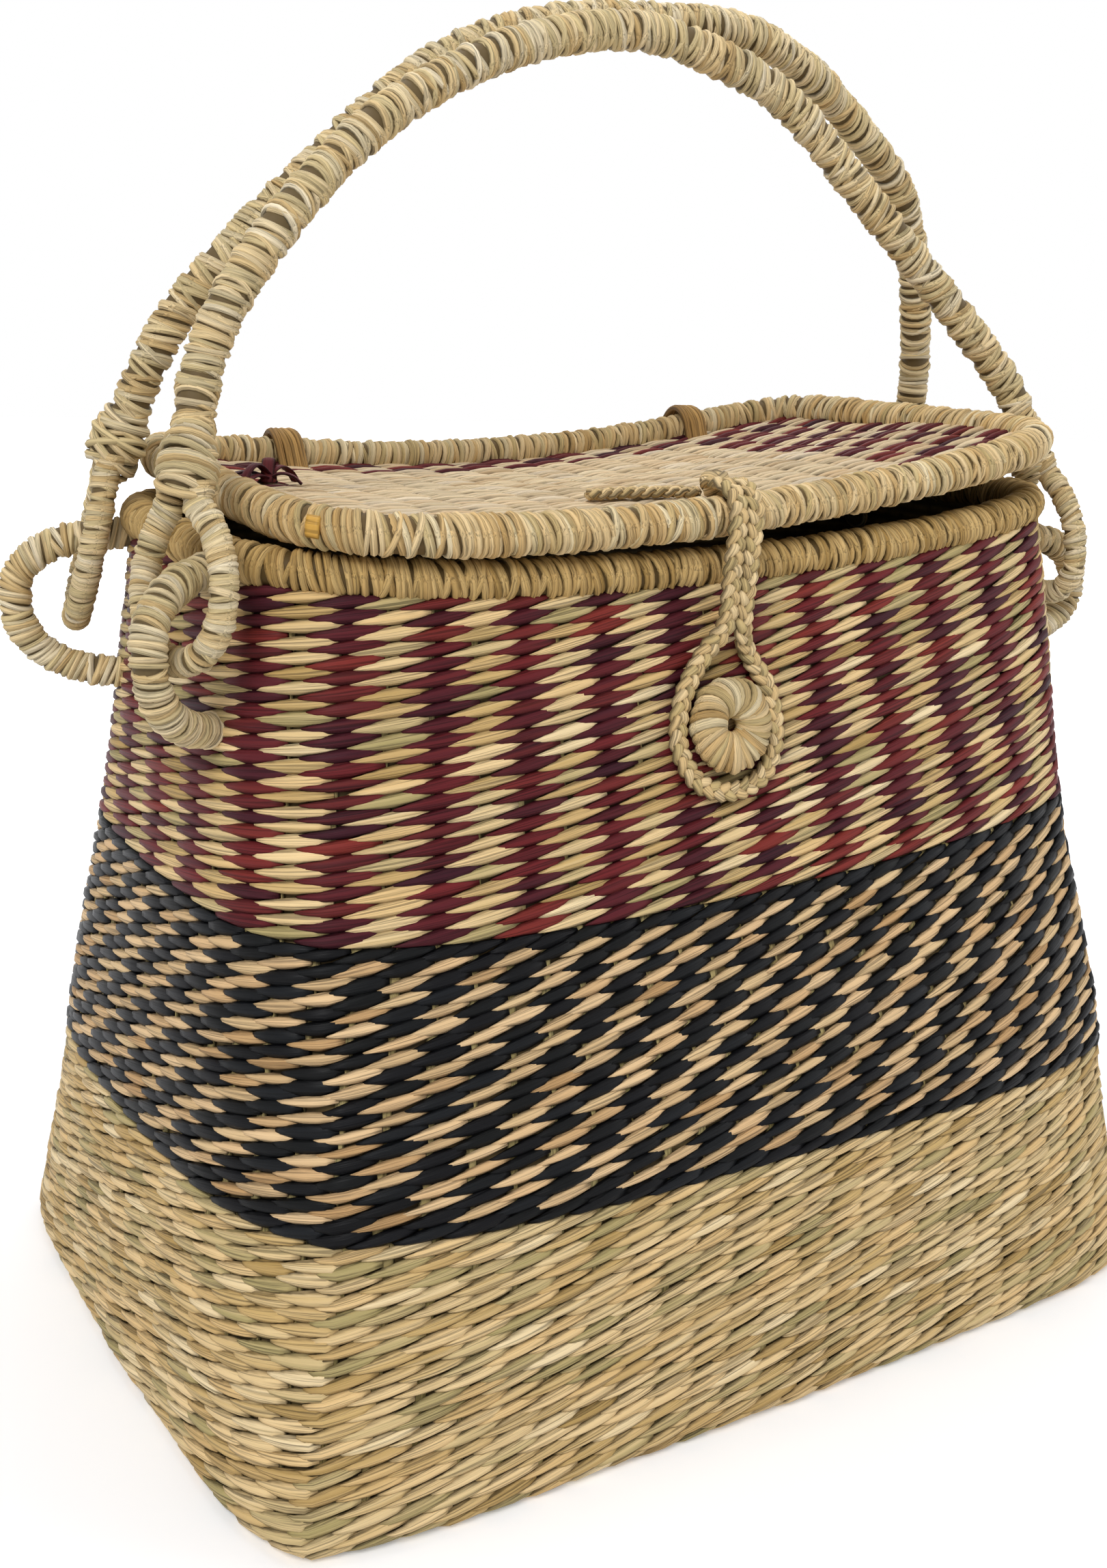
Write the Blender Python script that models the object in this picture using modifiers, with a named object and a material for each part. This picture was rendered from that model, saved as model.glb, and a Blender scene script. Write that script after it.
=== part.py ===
"""A lidded kiondo basket: twined walls, wrapped rims, ears and two swinging handles."""

import math

import bmesh
import bpy
from mathutils import Matrix, Vector

# Shared clearances and sampling
GAP = 0.0003
RUNNING_GAP = 0.0005
OUTLINE_POINTS = 48
CORNER_CROWDING_SHARE = 0.12

# Woven wall, outer face, from the floor up
WALL_THICKNESS = 0.005
FOOT_ROUND = 0.008
FOOT_TURN_SHARES = (0.0, 0.35, 0.7)
BASE_WIDTH = 0.420
BASE_DEPTH = 0.299
NATURAL_TOP = 0.1023
NATURAL_TOP_WIDTH = 0.405
NATURAL_TOP_DEPTH = 0.288
BLACK_TOP = 0.1957
BLACK_TOP_WIDTH = 0.381
BLACK_TOP_DEPTH = 0.220
BLACK_TOP_SADDLE_SHARE = 0.9
BASE_POWER = 6.8
NATURAL_TOP_POWER = 4.3
BLACK_TOP_POWER = 4.6
WALL_RINGS = 4
FACE_TRIES = 8
BASE_THICKNESS = 0.005

# Rolled rim of the body, on its centre line
RIM_WIDTH = 0.3468
RIM_DEPTH = 0.1646
RIM_HEIGHT = 0.30965
RIM_SHIFT_X = -0.0037
RIM_SHIFT_Y = 0.0022
RIM_LEFT_POWER = 4.1
RIM_RIGHT_POWER = 6.4
RIM_SIDE_TILT = 0.00745
RIM_BACK_TILT = 0.00535
RIM_END_RISE = 0.00695
RIM_BACK_END_RISE = -0.00295
RIM_TWIST = -0.00145

# Rolled rim of the lid, on its centre line
LID_WIDTH = 0.3220
LID_DEPTH = 0.1770
LID_RISE = 0.01645
LID_HEIGHT = RIM_HEIGHT + LID_RISE
LID_SHIFT_X = -0.0022
LID_SHIFT_Y = 0.0035
LID_LEFT_POWER = 6.0
LID_RIGHT_POWER = 8.8
LID_SIDE_TILT = 0.0120
LID_BACK_TILT = 0.0031
LID_END_RISE = 0.0122
LID_BACK_END_RISE = 0.0013
LID_TWIST = -0.0032
LID_PANEL_THICKNESS = 0.004
LID_PANEL_RINGS = 5

# Roll section: a cane core inside a wrapping that is open where the weave enters
ROLL_RADIUS = 0.0075
ROLL_CORE_RADIUS = 0.0046
ROLL_WRAP_THICKNESS = 0.0023
BODY_SLOT_HALF_ANGLE = math.radians(48)
LID_SLOT_HALF_ANGLE = math.radians(46)
BODY_SLOT_TILT = math.radians(12)
WRAP_PROFILE_STEPS = 8

# Ties that hinge the lid to the back rim
TIE_SPREAD = 0.200
TIE_CORD_RADIUS = 0.0019
TIE_RUNNING_GAP = 0.0010
TIE_ARC_STEPS = 7

# Handles, each in the plane in which it leans: shares of the half span and of the height,
# from the left collar over the top to the right one
PIVOT_DROP = 0.00665
PIVOT_HEIGHT = RIM_HEIGHT - PIVOT_DROP
PIVOT_SETBACK = 0.052
HANDLE_RADIUS = 0.0072
HANDLE_CORE_RADIUS = 0.0036
HANDLE_WRAP_THICKNESS = 0.0027
HANDLE_TOP_SETBACK = 0.0065
HANDLE_HALF_SPAN = 0.190
HANDLE_HEIGHTS = {"front": 0.1895, "back": 0.1970}
HANDLE_STEPS = 32
HANDLE_STRAIGHT_END = 0.005
FRONT_ARCH_SHARES = [
    (-0.980, 0.235), (-0.955, 0.335), (-0.888, 0.462), (-0.736, 0.642), (-0.543, 0.806),
    (-0.285, 0.939), (-0.020, 0.999), (0.190, 0.965), (0.345, 0.900), (0.506, 0.754),
    (0.655, 0.612), (0.795, 0.476), (0.915, 0.346), (0.948, 0.262),
]
BACK_ARCH_SHARES = [
    (-0.940, 0.235), (-0.905, 0.330), (-0.835, 0.445), (-0.630, 0.665), (-0.394, 0.870),
    (-0.170, 0.960), (0.060, 0.992), (0.280, 1.000), (0.465, 0.950), (0.643, 0.853),
    (0.800, 0.745), (0.900, 0.600), (0.965, 0.445), (1.000, 0.330), (1.016, 0.235),
]
COLLAR_LENGTH = 0.020
COLLAR_TOP_RADIUS = 0.0078
COLLAR_WAIST_RADIUS = 0.0094
COLLAR_BASE_RADIUS = 0.0102
COLLAR_SEGMENTS = 18

# Eye at each end of a handle, a wrapped loop that hangs round an ear: how far from the middle
# it hangs, its width between centre lines and its depth below the pivot
EYE_RADIUS = 0.0050
EYE_ROOT_SPREAD = 0.0108
EYE_STEPS = 20
EYE_OFFSETS = {"front_left": 0.1940, "front_right": 0.1900, "back_left": 0.1900,
               "back_right": 0.1965}
EYE_SPREADS = {"front_left": 0.0310, "front_right": 0.0325, "back_left": 0.0300,
               "back_right": 0.0300}
EYE_DROPS = {"front_left": 0.0258, "front_right": 0.0210, "back_left": 0.0300,
             "back_right": 0.0270}

# Ears, wrapped loops that stand out from the wall under the rim, each a little different
# because they are bent by hand: yaw off the length, reach, and the centre line's top above the
# pivot and its middle and foot below it
EAR_RADIUS = 0.0062
EAR_STEPS = 24
EAR_POWER = 2.3
EAR_YAWS = {"front_left": math.radians(32), "front_right": math.radians(0),
            "back_left": math.radians(18), "back_right": math.radians(18)}
EAR_REACHES = {"front_left": 0.0365, "front_right": 0.0360, "back_left": 0.0406,
               "back_right": 0.0400}
EAR_TOP_RISES = {"front_left": 0.0015, "front_right": 0.0030, "back_left": 0.0020,
                 "back_right": 0.0020}
EAR_MIDDLE_DROPS = {"front_left": 0.0200, "front_right": 0.0170, "back_left": 0.0210,
                    "back_right": 0.0190}
EAR_FOOT_DROPS = {"front_left": 0.0505, "front_right": 0.0390, "back_left": 0.0490,
                  "back_right": 0.0480}

# Button and the plaited cord that loops round it
BUTTON_X = -0.0135
BUTTON_DROP = 0.05965
BUTTON_HEIGHT = RIM_HEIGHT - BUTTON_DROP
BUTTON_OUTER_RADIUS = 0.0175
BUTTON_HOLE_RADIUS = 0.0024
BUTTON_THICKNESS = 0.0120
BUTTON_SEGMENTS = 22
STITCH_RADIUS = 0.0019
PLAIT_RADIUS = 0.0031
PLAIT_X = -0.0090
PLAIT_SPREAD = 0.0072
LOOP_HALF_WIDTH = 0.0214
LOOP_SPLIT_RISE = 0.0360
LOOP_BOTTOM_GAP = 0.0015
CORD_LIFT = 0.0008
CORD_STEPS_PER_KNOT = 4
TAIL_RADIUS = 0.0026
TAIL_ROUTE = [
    (-0.0075, -0.0655), (-0.0125, -0.0600), (-0.0190, -0.0560),
    (-0.0265, -0.0530), (-0.0350, -0.0510), (-0.0440, -0.0500),
]
KNOT_RADIUS = 0.0058

STRAW = (0.69, 0.56, 0.33)
BLACK_STRAW = (0.018, 0.020, 0.022)
MAROON_STRAW = (0.13, 0.022, 0.027)
CANE = (0.62, 0.40, 0.14)
BROWN_STRAW = (0.40, 0.25, 0.10)


def clear_scene():
    for old in list(bpy.data.objects):
        bpy.data.objects.remove(old, do_unlink=True)
    for old in list(bpy.data.collections):
        bpy.data.collections.remove(old)


def make_collection(name):
    collection = bpy.data.collections.new(name)
    bpy.context.scene.collection.children.link(collection)
    return collection


def make_material(name, colour, roughness):
    material = bpy.data.materials.new(name)
    material.use_nodes = True
    shader = material.node_tree.nodes["Principled BSDF"]
    shader.inputs["Base Color"].default_value = (*colour, 1)
    shader.inputs["Roughness"].default_value = roughness
    shader.inputs["Metallic"].default_value = 0
    return material


clear_scene()
BASKET = make_collection("kiondo_basket")
CUTTERS = make_collection("cutters")


def add_piece(name, data, colour, roughness=0.7):
    piece = bpy.data.objects.new(name, data)
    BASKET.objects.link(piece)
    data.materials.append(make_material(name + "_finish", colour, roughness))
    return piece


def add_cutter(name, data):
    cutter = bpy.data.objects.new(name, data)
    CUTTERS.objects.link(cutter)
    cutter.hide_render = True
    cutter.display_type = "WIRE"
    return cutter


def cut(piece, cutter):
    modifier = piece.modifiers.new("cut_by_" + cutter.name, "BOOLEAN")
    modifier.object = cutter
    modifier.operation = "DIFFERENCE"
    modifier.solver = "EXACT"


def thicken(piece, thickness, offset):
    modifier = piece.modifiers.new("thickness", "SOLIDIFY")
    modifier.thickness = thickness
    modifier.offset = offset
    modifier.use_even_offset = True


def smooth(mesh):
    mesh.shade_smooth()
    mesh.set_sharp_from_angle(angle=math.radians(40))


# Outlines: a rounded rectangle as a superellipse, sampled more closely at its corners
def outline_angles():
    turns = [2 * math.pi * step / OUTLINE_POINTS for step in range(OUTLINE_POINTS)]
    return [turn + CORNER_CROWDING_SHARE * math.sin(4 * turn) for turn in turns]


def outline_share(angle, left_power, right_power):
    across, along = math.cos(angle), math.sin(angle)
    power = left_power if across < 0 else right_power
    size = (abs(across) ** power + abs(along) ** power) ** (-1 / power)
    return across * size, along * size


def saddle(x_share, y_share, side_tilt, back_tilt, end_rise, back_end_rise, twist):
    level = side_tilt * x_share + back_tilt * y_share + twist * x_share * y_share
    return level + (end_rise + back_end_rise * y_share) * x_share ** 2


def rim_saddle(x_share, y_share):
    return saddle(x_share, y_share, RIM_SIDE_TILT, RIM_BACK_TILT, RIM_END_RISE,
                  RIM_BACK_END_RISE, RIM_TWIST)


def lid_saddle(x_share, y_share):
    return saddle(x_share, y_share, LID_SIDE_TILT, LID_BACK_TILT, LID_END_RISE,
                  LID_BACK_END_RISE, LID_TWIST)


def rim_point(angle):
    x_share, y_share = outline_share(angle, RIM_LEFT_POWER, RIM_RIGHT_POWER)
    return Vector((
        RIM_SHIFT_X + RIM_WIDTH / 2 * x_share,
        RIM_SHIFT_Y + RIM_DEPTH / 2 * y_share,
        RIM_HEIGHT + rim_saddle(x_share, y_share),
    ))


def lid_point(angle, inset=0.0, scale_share=1.0):
    x_share, y_share = outline_share(angle, LID_LEFT_POWER, LID_RIGHT_POWER)
    half_width = (LID_WIDTH / 2 - inset) * scale_share
    half_depth = (LID_DEPTH / 2 - inset) * scale_share
    x, y = half_width * x_share, half_depth * y_share
    height = LID_HEIGHT + lid_saddle(x / (LID_WIDTH / 2), y / (LID_DEPTH / 2))
    return Vector((LID_SHIFT_X + x, LID_SHIFT_Y + y, height))


def roll_centre_at(point_of, x, side):
    """The centre of a roll where it passes x, on its back (side 1) or its front (side -1)."""
    near, far = side * math.pi / 2, side * math.pi / 2
    if x < point_of(near).x:
        far += side * math.pi / 2
    else:
        far -= side * math.pi / 2
    for _ in range(40):
        middle = (near + far) / 2
        if (point_of(middle).x - x) * (point_of(far).x - x) > 0:
            far = middle
        else:
            near = middle
    return point_of(near)


# Wall levels: height, width, depth, left and right corner power, shift and share of the rim's saddle
WALL_LEVELS = [
    (0.0, BASE_WIDTH, BASE_DEPTH, BASE_POWER, BASE_POWER, 0.0, 0.0, 0.0),
    (NATURAL_TOP, NATURAL_TOP_WIDTH, NATURAL_TOP_DEPTH,
     NATURAL_TOP_POWER, NATURAL_TOP_POWER, 0.0, 0.0, 0.0),
    (BLACK_TOP, BLACK_TOP_WIDTH, BLACK_TOP_DEPTH,
     BLACK_TOP_POWER, BLACK_TOP_POWER, 0.0, 0.0, BLACK_TOP_SADDLE_SHARE),
    (RIM_HEIGHT, RIM_WIDTH + WALL_THICKNESS, RIM_DEPTH + WALL_THICKNESS,
     RIM_LEFT_POWER, RIM_RIGHT_POWER, RIM_SHIFT_X, RIM_SHIFT_Y, 1.0),
]


def level_slope(index, column):
    """Slope of one column of the level table, flattened where the sides' slopes disagree."""
    slopes = []
    for low, high in ((index - 1, index), (index, index + 1)):
        if 0 <= low and high < len(WALL_LEVELS):
            below, above = WALL_LEVELS[low], WALL_LEVELS[high]
            slopes.append((above[column] - below[column]) / (above[0] - below[0]))
    if len(slopes) == 1:
        return slopes[0]
    if slopes[0] * slopes[1] <= 0:
        return 0.0
    return 2 * slopes[0] * slopes[1] / (slopes[0] + slopes[1])


def wall_size(height, column):
    """One column of the level table at any height, as a smooth curve through the levels."""
    index = 0
    while index < len(WALL_LEVELS) - 2 and height > WALL_LEVELS[index + 1][0]:
        index += 1
    below, above = WALL_LEVELS[index], WALL_LEVELS[index + 1]
    run = above[0] - below[0]
    t = (height - below[0]) / run
    start, end = below[column], above[column]
    start_slope = level_slope(index, column) * run
    end_slope = level_slope(index + 1, column) * run
    return ((2 * t ** 3 - 3 * t ** 2 + 1) * start + (t ** 3 - 2 * t ** 2 + t) * start_slope
            + (3 * t ** 2 - 2 * t ** 3) * end + (t ** 3 - t ** 2) * end_slope)


def wall_point(height, angle, inset=0.0):
    x_share, y_share = outline_share(angle, wall_size(height, 3), wall_size(height, 4))
    return Vector((
        wall_size(height, 5) + (wall_size(height, 1) / 2 - inset) * x_share,
        wall_size(height, 6) + (wall_size(height, 2) / 2 - inset) * y_share,
        height + wall_size(height, 7) * rim_saddle(x_share, y_share),
    ))


def wall_face(height, x):
    """The front face of the wall at a height and x, and its outward direction."""
    level = height
    for _ in range(FACE_TRIES):
        x_share = (x - wall_size(level, 5)) / (wall_size(level, 1) / 2)
        power = wall_size(level, 3) if x_share < 0 else wall_size(level, 4)
        y_share = -(1 - abs(x_share) ** power) ** (1 / power)
        angle = math.atan2(y_share, x_share)
        here = wall_point(level, angle)
        level += height - here.z
    step = WALL_THICKNESS
    up = wall_point(level + step, angle) - wall_point(level - step, angle)
    along = Vector((1, 0, 0))
    return here, along.cross(up).normalized()


# Mesh builders
def loft(name, rings, cap_ends=False, closed=False):
    """A surface through rings of points that all have the same count."""
    shell = bmesh.new()
    rows = [[shell.verts.new(point) for point in ring] for ring in rings]
    for lower, upper in zip(rows, rows[1:] + rows[:1] if closed else rows[1:]):
        for index in range(len(lower)):
            after = (index + 1) % len(lower)
            shell.faces.new((lower[index], lower[after], upper[after], upper[index]))
    if cap_ends:
        shell.faces.new(list(reversed(rows[0])))
        shell.faces.new(rows[-1])
    mesh = bpy.data.meshes.new(name)
    shell.to_mesh(mesh)
    shell.free()
    smooth(mesh)
    return mesh


def sheet(name, rings, centre):
    """A surface through rings that shrink towards one centre point."""
    surface = bmesh.new()
    rows = [[surface.verts.new(point) for point in ring] for ring in rings]
    for outer, inner in zip(rows, rows[1:]):
        for index in range(len(outer)):
            after = (index + 1) % len(outer)
            surface.faces.new((outer[index], outer[after], inner[after], inner[index]))
    middle = surface.verts.new(centre)
    last = rows[-1]
    for index in range(len(last)):
        surface.faces.new((last[index], last[(index + 1) % len(last)], middle))
    mesh = bpy.data.meshes.new(name)
    surface.to_mesh(mesh)
    surface.free()
    return mesh


def path_curve(name, points, closed=False):
    curve = bpy.data.curves.new(name, "CURVE")
    curve.dimensions = "3D"
    curve.twist_mode = "MINIMUM"
    spline = curve.splines.new("POLY")
    spline.points.add(len(points) - 1)
    for knot, point in zip(spline.points, points):
        knot.co = (*point, 1)
    spline.use_cyclic_u = closed
    return curve


def tube_curve(name, points, radius, closed=False, resolution=2, capped=True):
    curve = path_curve(name, points, closed)
    curve.bevel_depth = radius
    curve.bevel_resolution = resolution
    curve.use_fill_caps = capped and not closed
    return curve


def as_mesh(curve_object, name):
    """The evaluated curve as a closed mesh; the curve object is removed."""
    bpy.context.view_layer.update()
    evaluated = curve_object.evaluated_get(bpy.context.evaluated_depsgraph_get())
    mesh = bpy.data.meshes.new_from_object(evaluated)
    mesh.name = name
    welded = bmesh.new()
    welded.from_mesh(mesh)
    bmesh.ops.remove_doubles(welded, verts=welded.verts, dist=GAP / 30)
    welded.to_mesh(mesh)
    welded.free()
    mesh.transform(curve_object.matrix_world)
    mesh.materials.clear()
    bpy.data.objects.remove(curve_object, do_unlink=True)
    return mesh


def tube_mesh(name, points, radius, closed=False, resolution=2):
    holder = bpy.data.objects.new(name, tube_curve(name, points, radius, closed, resolution))
    CUTTERS.objects.link(holder)
    return as_mesh(holder, name)


def smooth_path(knots, steps):
    """Evenly counted points on a Catmull-Rom curve through the knots."""
    knots = [Vector(knot) for knot in knots]
    ends = [2 * knots[0] - knots[1]] + knots + [2 * knots[-1] - knots[-2]]
    points = []
    for step in range(steps + 1):
        place = step / steps * (len(knots) - 1)
        index = min(int(place), len(knots) - 2)
        t = place - index
        a, b, c, d = ends[index:index + 4]
        points.append(0.5 * (2 * b + (c - a) * t + (2 * a - 5 * b + 4 * c - d) * t ** 2
                             + (3 * b - a - 3 * c + d) * t ** 3))
    return points


# Walls and base
def wall_heights(bottom, top):
    return [bottom + (top - bottom) * step / WALL_RINGS for step in range(WALL_RINGS + 1)]


def add_wall_band(name, levels, colour):
    """A closed band: its outer face goes up through the levels, its inner face comes down."""
    outer, inner = [], []
    for height, inset in levels:
        outer.append([wall_point(height, angle, inset) for angle in outline_angles()])
        inner.append([wall_point(height, angle, inset + WALL_THICKNESS) for angle in outline_angles()])
    return add_piece(name, loft(name, outer + inner[::-1], closed=True), colour)


def upright(bottom, top):
    return [(height, 0.0) for height in wall_heights(bottom, top)]


def add_lower_band():
    """The natural band turns in at the floor with a rounded edge, which the base panel fills."""
    levels = upright(FOOT_ROUND, NATURAL_TOP - GAP / 2)
    outer = [[wall_point(height, angle, inset) for angle in outline_angles()]
             for height, inset in foot_levels(FOOT_ROUND) + levels]
    inner = [[wall_point(height, angle, inset + WALL_THICKNESS) for angle in outline_angles()]
             for height, inset in levels]
    turned = [[wall_point(height, angle, inset) for angle in outline_angles()]
              for height, inset in foot_levels(FOOT_ROUND - WALL_THICKNESS)]
    rings = outer + inner[::-1] + turned[::-1]
    add_piece("natural_wall_band", loft("natural_wall_band", rings, closed=True), STRAW)


def foot_levels(radius):
    """The foot's round at a radius about its centre, as heights and insets."""
    levels = []
    for turn_share in FOOT_TURN_SHARES:
        turn = turn_share * math.pi / 2
        levels.append((FOOT_ROUND - radius * math.cos(turn), FOOT_ROUND - radius * math.sin(turn)))
    return levels


def add_base():
    angles = outline_angles()
    inset = FOOT_ROUND + GAP
    rings = []
    for scale_share in (1.0, 0.8, 0.4):
        ring = [wall_point(BASE_THICKNESS, angle, inset) * scale_share for angle in angles]
        rings.append([Vector((point.x, point.y, BASE_THICKNESS)) for point in ring])
    base = add_piece("base_panel", sheet("base_panel", rings, (0, 0, BASE_THICKNESS)), STRAW)
    thicken(base, BASE_THICKNESS, -1)


# Rolls
def wrap_profile(name, slot_direction, slot_half_angle):
    """The wrapping's outer face: an arc that leaves its slot open at slot_direction."""
    start = slot_direction - slot_half_angle
    sweep = 2 * slot_half_angle - 2 * math.pi
    arc = []
    for step in range(WRAP_PROFILE_STEPS + 1):
        turn = start + sweep * step / WRAP_PROFILE_STEPS
        arc.append((ROLL_RADIUS * math.cos(turn), ROLL_RADIUS * math.sin(turn), 0))
    return add_cutter(name, path_curve(name, arc))


def add_roll(name, point_of, slot_direction, slot_half_angle):
    points = [point_of(angle) for angle in outline_angles()]
    core = tube_curve(name + "_core", points, ROLL_CORE_RADIUS, closed=True, resolution=1)
    add_piece(name + "_core", core, CANE)
    wrapping = path_curve(name + "_wrapping", points, closed=True)
    wrapping.twist_mode = "Z_UP"
    wrapping.bevel_mode = "OBJECT"
    wrapping.bevel_object = wrap_profile(name + "_profile", slot_direction, slot_half_angle)
    wrap = add_piece(name + "_wrapping", wrapping, STRAW)
    thicken(wrap, ROLL_WRAP_THICKNESS, -1)


def rim_envelope():
    points = [rim_point(angle) for angle in outline_angles()]
    return add_cutter("rim_envelope",
                      tube_mesh("rim_envelope", points, ROLL_RADIUS + GAP, closed=True, resolution=4))


def wall_envelope():
    angles = outline_angles()
    top = RIM_HEIGHT - ROLL_CORE_RADIUS - GAP
    heights = wall_heights(NATURAL_TOP, BLACK_TOP)[:-1] + wall_heights(BLACK_TOP, top)
    rings = [[wall_point(height, angle, -GAP) for angle in angles] for height in heights]
    return add_cutter("wall_envelope", loft("wall_envelope", rings, cap_ends=True))


# Lid panel and the ties that hinge it
def add_lid_panel():
    angles = outline_angles()
    inset = ROLL_CORE_RADIUS + GAP
    rings = []
    for ring in range(LID_PANEL_RINGS):
        scale_share = 1 - ring / LID_PANEL_RINGS
        rings.append([lid_point(angle, inset, scale_share) for angle in angles])
    centre = Vector((LID_SHIFT_X, LID_SHIFT_Y, LID_HEIGHT))
    panel = add_piece("lid_panel", sheet("lid_panel", rings, centre), STRAW)
    thicken(panel, LID_PANEL_THICKNESS, 0)
    return panel


def tie_centres(side):
    x = side * TIE_SPREAD / 2
    return roll_centre_at(lid_point, x, 1), roll_centre_at(rim_point, x, 1)


def add_tie(name, side, panel, wall):
    upper, lower = tie_centres(side)
    radius = ROLL_RADIUS + RUNNING_GAP + TIE_CORD_RADIUS
    rise = upper - lower
    lean = math.atan2(rise.z, rise.y)
    points = []
    for centre, start in ((upper, lean - math.pi / 2), (lower, lean + math.pi / 2)):
        for step in range(TIE_ARC_STEPS + 1):
            turn = start + math.pi * step / TIE_ARC_STEPS
            points.append(Vector((upper.x, centre.y + radius * math.cos(turn),
                                  centre.z + radius * math.sin(turn))))
    loop = tube_curve(name, points, TIE_CORD_RADIUS, closed=True, resolution=1)
    add_piece(name, loop, BROWN_STRAW)
    bore = TIE_CORD_RADIUS + TIE_RUNNING_GAP
    cutter = add_cutter(name + "_cut", tube_mesh(name + "_cut", points, bore, closed=True))
    cut(panel, cutter)
    cut(wall, cutter)


# Ears
def ends_of(end):
    """Signs of an end's place: x (left is negative) and y (front is negative)."""
    return (-1 if end.endswith("left") else 1), (-1 if end.startswith("front") else 1)


def crossing(end):
    """The point where a handle's eye hangs on its ear, on the handle's hinge axis."""
    side, depth = ends_of(end)
    return Vector((side * EYE_OFFSETS[end], depth * PIVOT_SETBACK, PIVOT_HEIGHT))


def outward(end):
    side, depth = ends_of(end)
    yaw = EAR_YAWS[end]
    return Vector((side * math.cos(yaw), depth * math.sin(yaw), 0))


def ear_root(end):
    """The point on the wall's end face from which an ear stands out through its crossing."""
    side, _ = ends_of(end)
    height = PIVOT_HEIGHT - EAR_RADIUS
    reach = 0.0
    for _ in range(30):
        at = crossing(end) - outward(end) * reach
        y_share = (at.y - wall_size(height, 6)) / (wall_size(height, 2) / 2)
        power = wall_size(height, 3) if side < 0 else wall_size(height, 4)
        x_share = (1 - abs(y_share) ** power) ** (1 / power)
        face = wall_size(height, 5) + side * wall_size(height, 1) / 2 * x_share
        reach += (at.x - face) * side
    return Vector((at.x, at.y, PIVOT_HEIGHT))


def ear_path(end):
    """A D-shaped loop: one half of a superellipse, with both ends run into the wall."""
    root, away = ear_root(end), outward(end)
    reach, middle = EAR_REACHES[end], PIVOT_HEIGHT - EAR_MIDDLE_DROPS[end]
    top, foot = PIVOT_HEIGHT + EAR_TOP_RISES[end], PIVOT_HEIGHT - EAR_FOOT_DROPS[end]
    points = []
    for step in range(EAR_STEPS + 1):
        turn = math.pi / 2 - math.pi * step / EAR_STEPS
        out = reach * abs(math.cos(turn)) ** (2 / EAR_POWER)
        height = (top if turn > 0 else foot) - middle
        rise = height * abs(math.sin(turn)) ** (2 / EAR_POWER)
        points.append(Vector((root.x, root.y, middle + rise)) + away * out)
    buried = away * EAR_RADIUS
    return [points[0] - buried, *points, points[-1] - buried]


def add_ear(end, wall_cutter, rim_cutter):
    ear = add_piece(end + "_ear", tube_mesh(end + "_ear", ear_path(end), EAR_RADIUS), STRAW)
    cut(ear, wall_cutter)
    cut(ear, rim_cutter)


# Handles
def in_plane(x, height, end):
    """A point of the plane in which a handle leans in, so that the two tops meet."""
    depth = ends_of(end)[1]
    lean = math.asin((PIVOT_SETBACK - HANDLE_TOP_SETBACK) / HANDLE_HEIGHTS[end.split("_")[0]])
    return Vector((x, depth * (PIVOT_SETBACK - height * math.sin(lean)),
                   PIVOT_HEIGHT + height * math.cos(lean)))


def arch_knots(end):
    """The handle's arch from one collar to the other."""
    front = ends_of(end)[1] < 0
    height = HANDLE_HEIGHTS["front" if front else "back"]
    shares = FRONT_ARCH_SHARES if front else BACK_ARCH_SHARES
    return [in_plane(HANDLE_HALF_SPAN * x, height * z, end) for x, z in shares]


def collar_ends(end):
    """The middles of a collar's top and foot: it carries the arch's end straight on."""
    knots = arch_knots(end)
    first, second = (knots[0], knots[1]) if end.endswith("left") else (knots[-1], knots[-2])
    along = (first - second).normalized()
    return first, first + along * COLLAR_LENGTH


def add_handle(name):
    left, right = name.replace("handle", "left"), name.replace("handle", "right")
    arch = smooth_path(arch_knots(left), HANDLE_STEPS)
    straight = []
    for end in (left, right):
        top, foot = collar_ends(end)
        straight.append([top + (top - foot).normalized() * rise for rise in (GAP, HANDLE_STRAIGHT_END)])
    wrap_path = straight[0] + arch[1:-1] + straight[1][::-1]
    core_path = [collar_ends(left)[1], *wrap_path, collar_ends(right)[1]]
    core = tube_curve(name + "_core", core_path, HANDLE_CORE_RADIUS, resolution=1)
    wrap = tube_curve(name + "_wrapping", wrap_path, HANDLE_RADIUS, capped=False)
    pieces = [add_piece(name + "_core", core, CANE), add_piece(name + "_wrapping", wrap, STRAW)]
    thicken(pieces[1], HANDLE_WRAP_THICKNESS, -1)
    return pieces


def add_collar(end):
    """A lashed collar: a turned barrel that widens towards the eye's two roots."""
    top, foot = collar_ends(end)
    up = (top - foot).normalized()
    across = up.cross(outward(end)).normalized()
    length = COLLAR_LENGTH
    bore = HANDLE_CORE_RADIUS + GAP
    profile = [
        (bore, length), (COLLAR_TOP_RADIUS, length), (COLLAR_WAIST_RADIUS, length * 0.72),
        (COLLAR_BASE_RADIUS, length * 0.3), (COLLAR_WAIST_RADIUS, 0.0), (bore, 0.0),
    ]
    section = bmesh.new()
    points = [section.verts.new((radius, 0, height)) for radius, height in profile]
    for index, point in enumerate(points):
        section.edges.new((point, points[(index + 1) % len(points)]))
    mesh = bpy.data.meshes.new(end + "_collar")
    section.to_mesh(mesh)
    section.free()
    collar = add_piece(end + "_collar", mesh, STRAW)
    screw = collar.modifiers.new("turned", "SCREW")
    screw.steps = COLLAR_SEGMENTS
    screw.render_steps = COLLAR_SEGMENTS
    screw.use_merge_vertices = True
    screw.merge_threshold = GAP / 30
    screw.use_normal_calculate = True
    frame = Matrix((across, up.cross(across), up)).transposed()
    collar.matrix_world = Matrix.Translation(foot) @ frame.to_4x4()
    return collar


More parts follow.
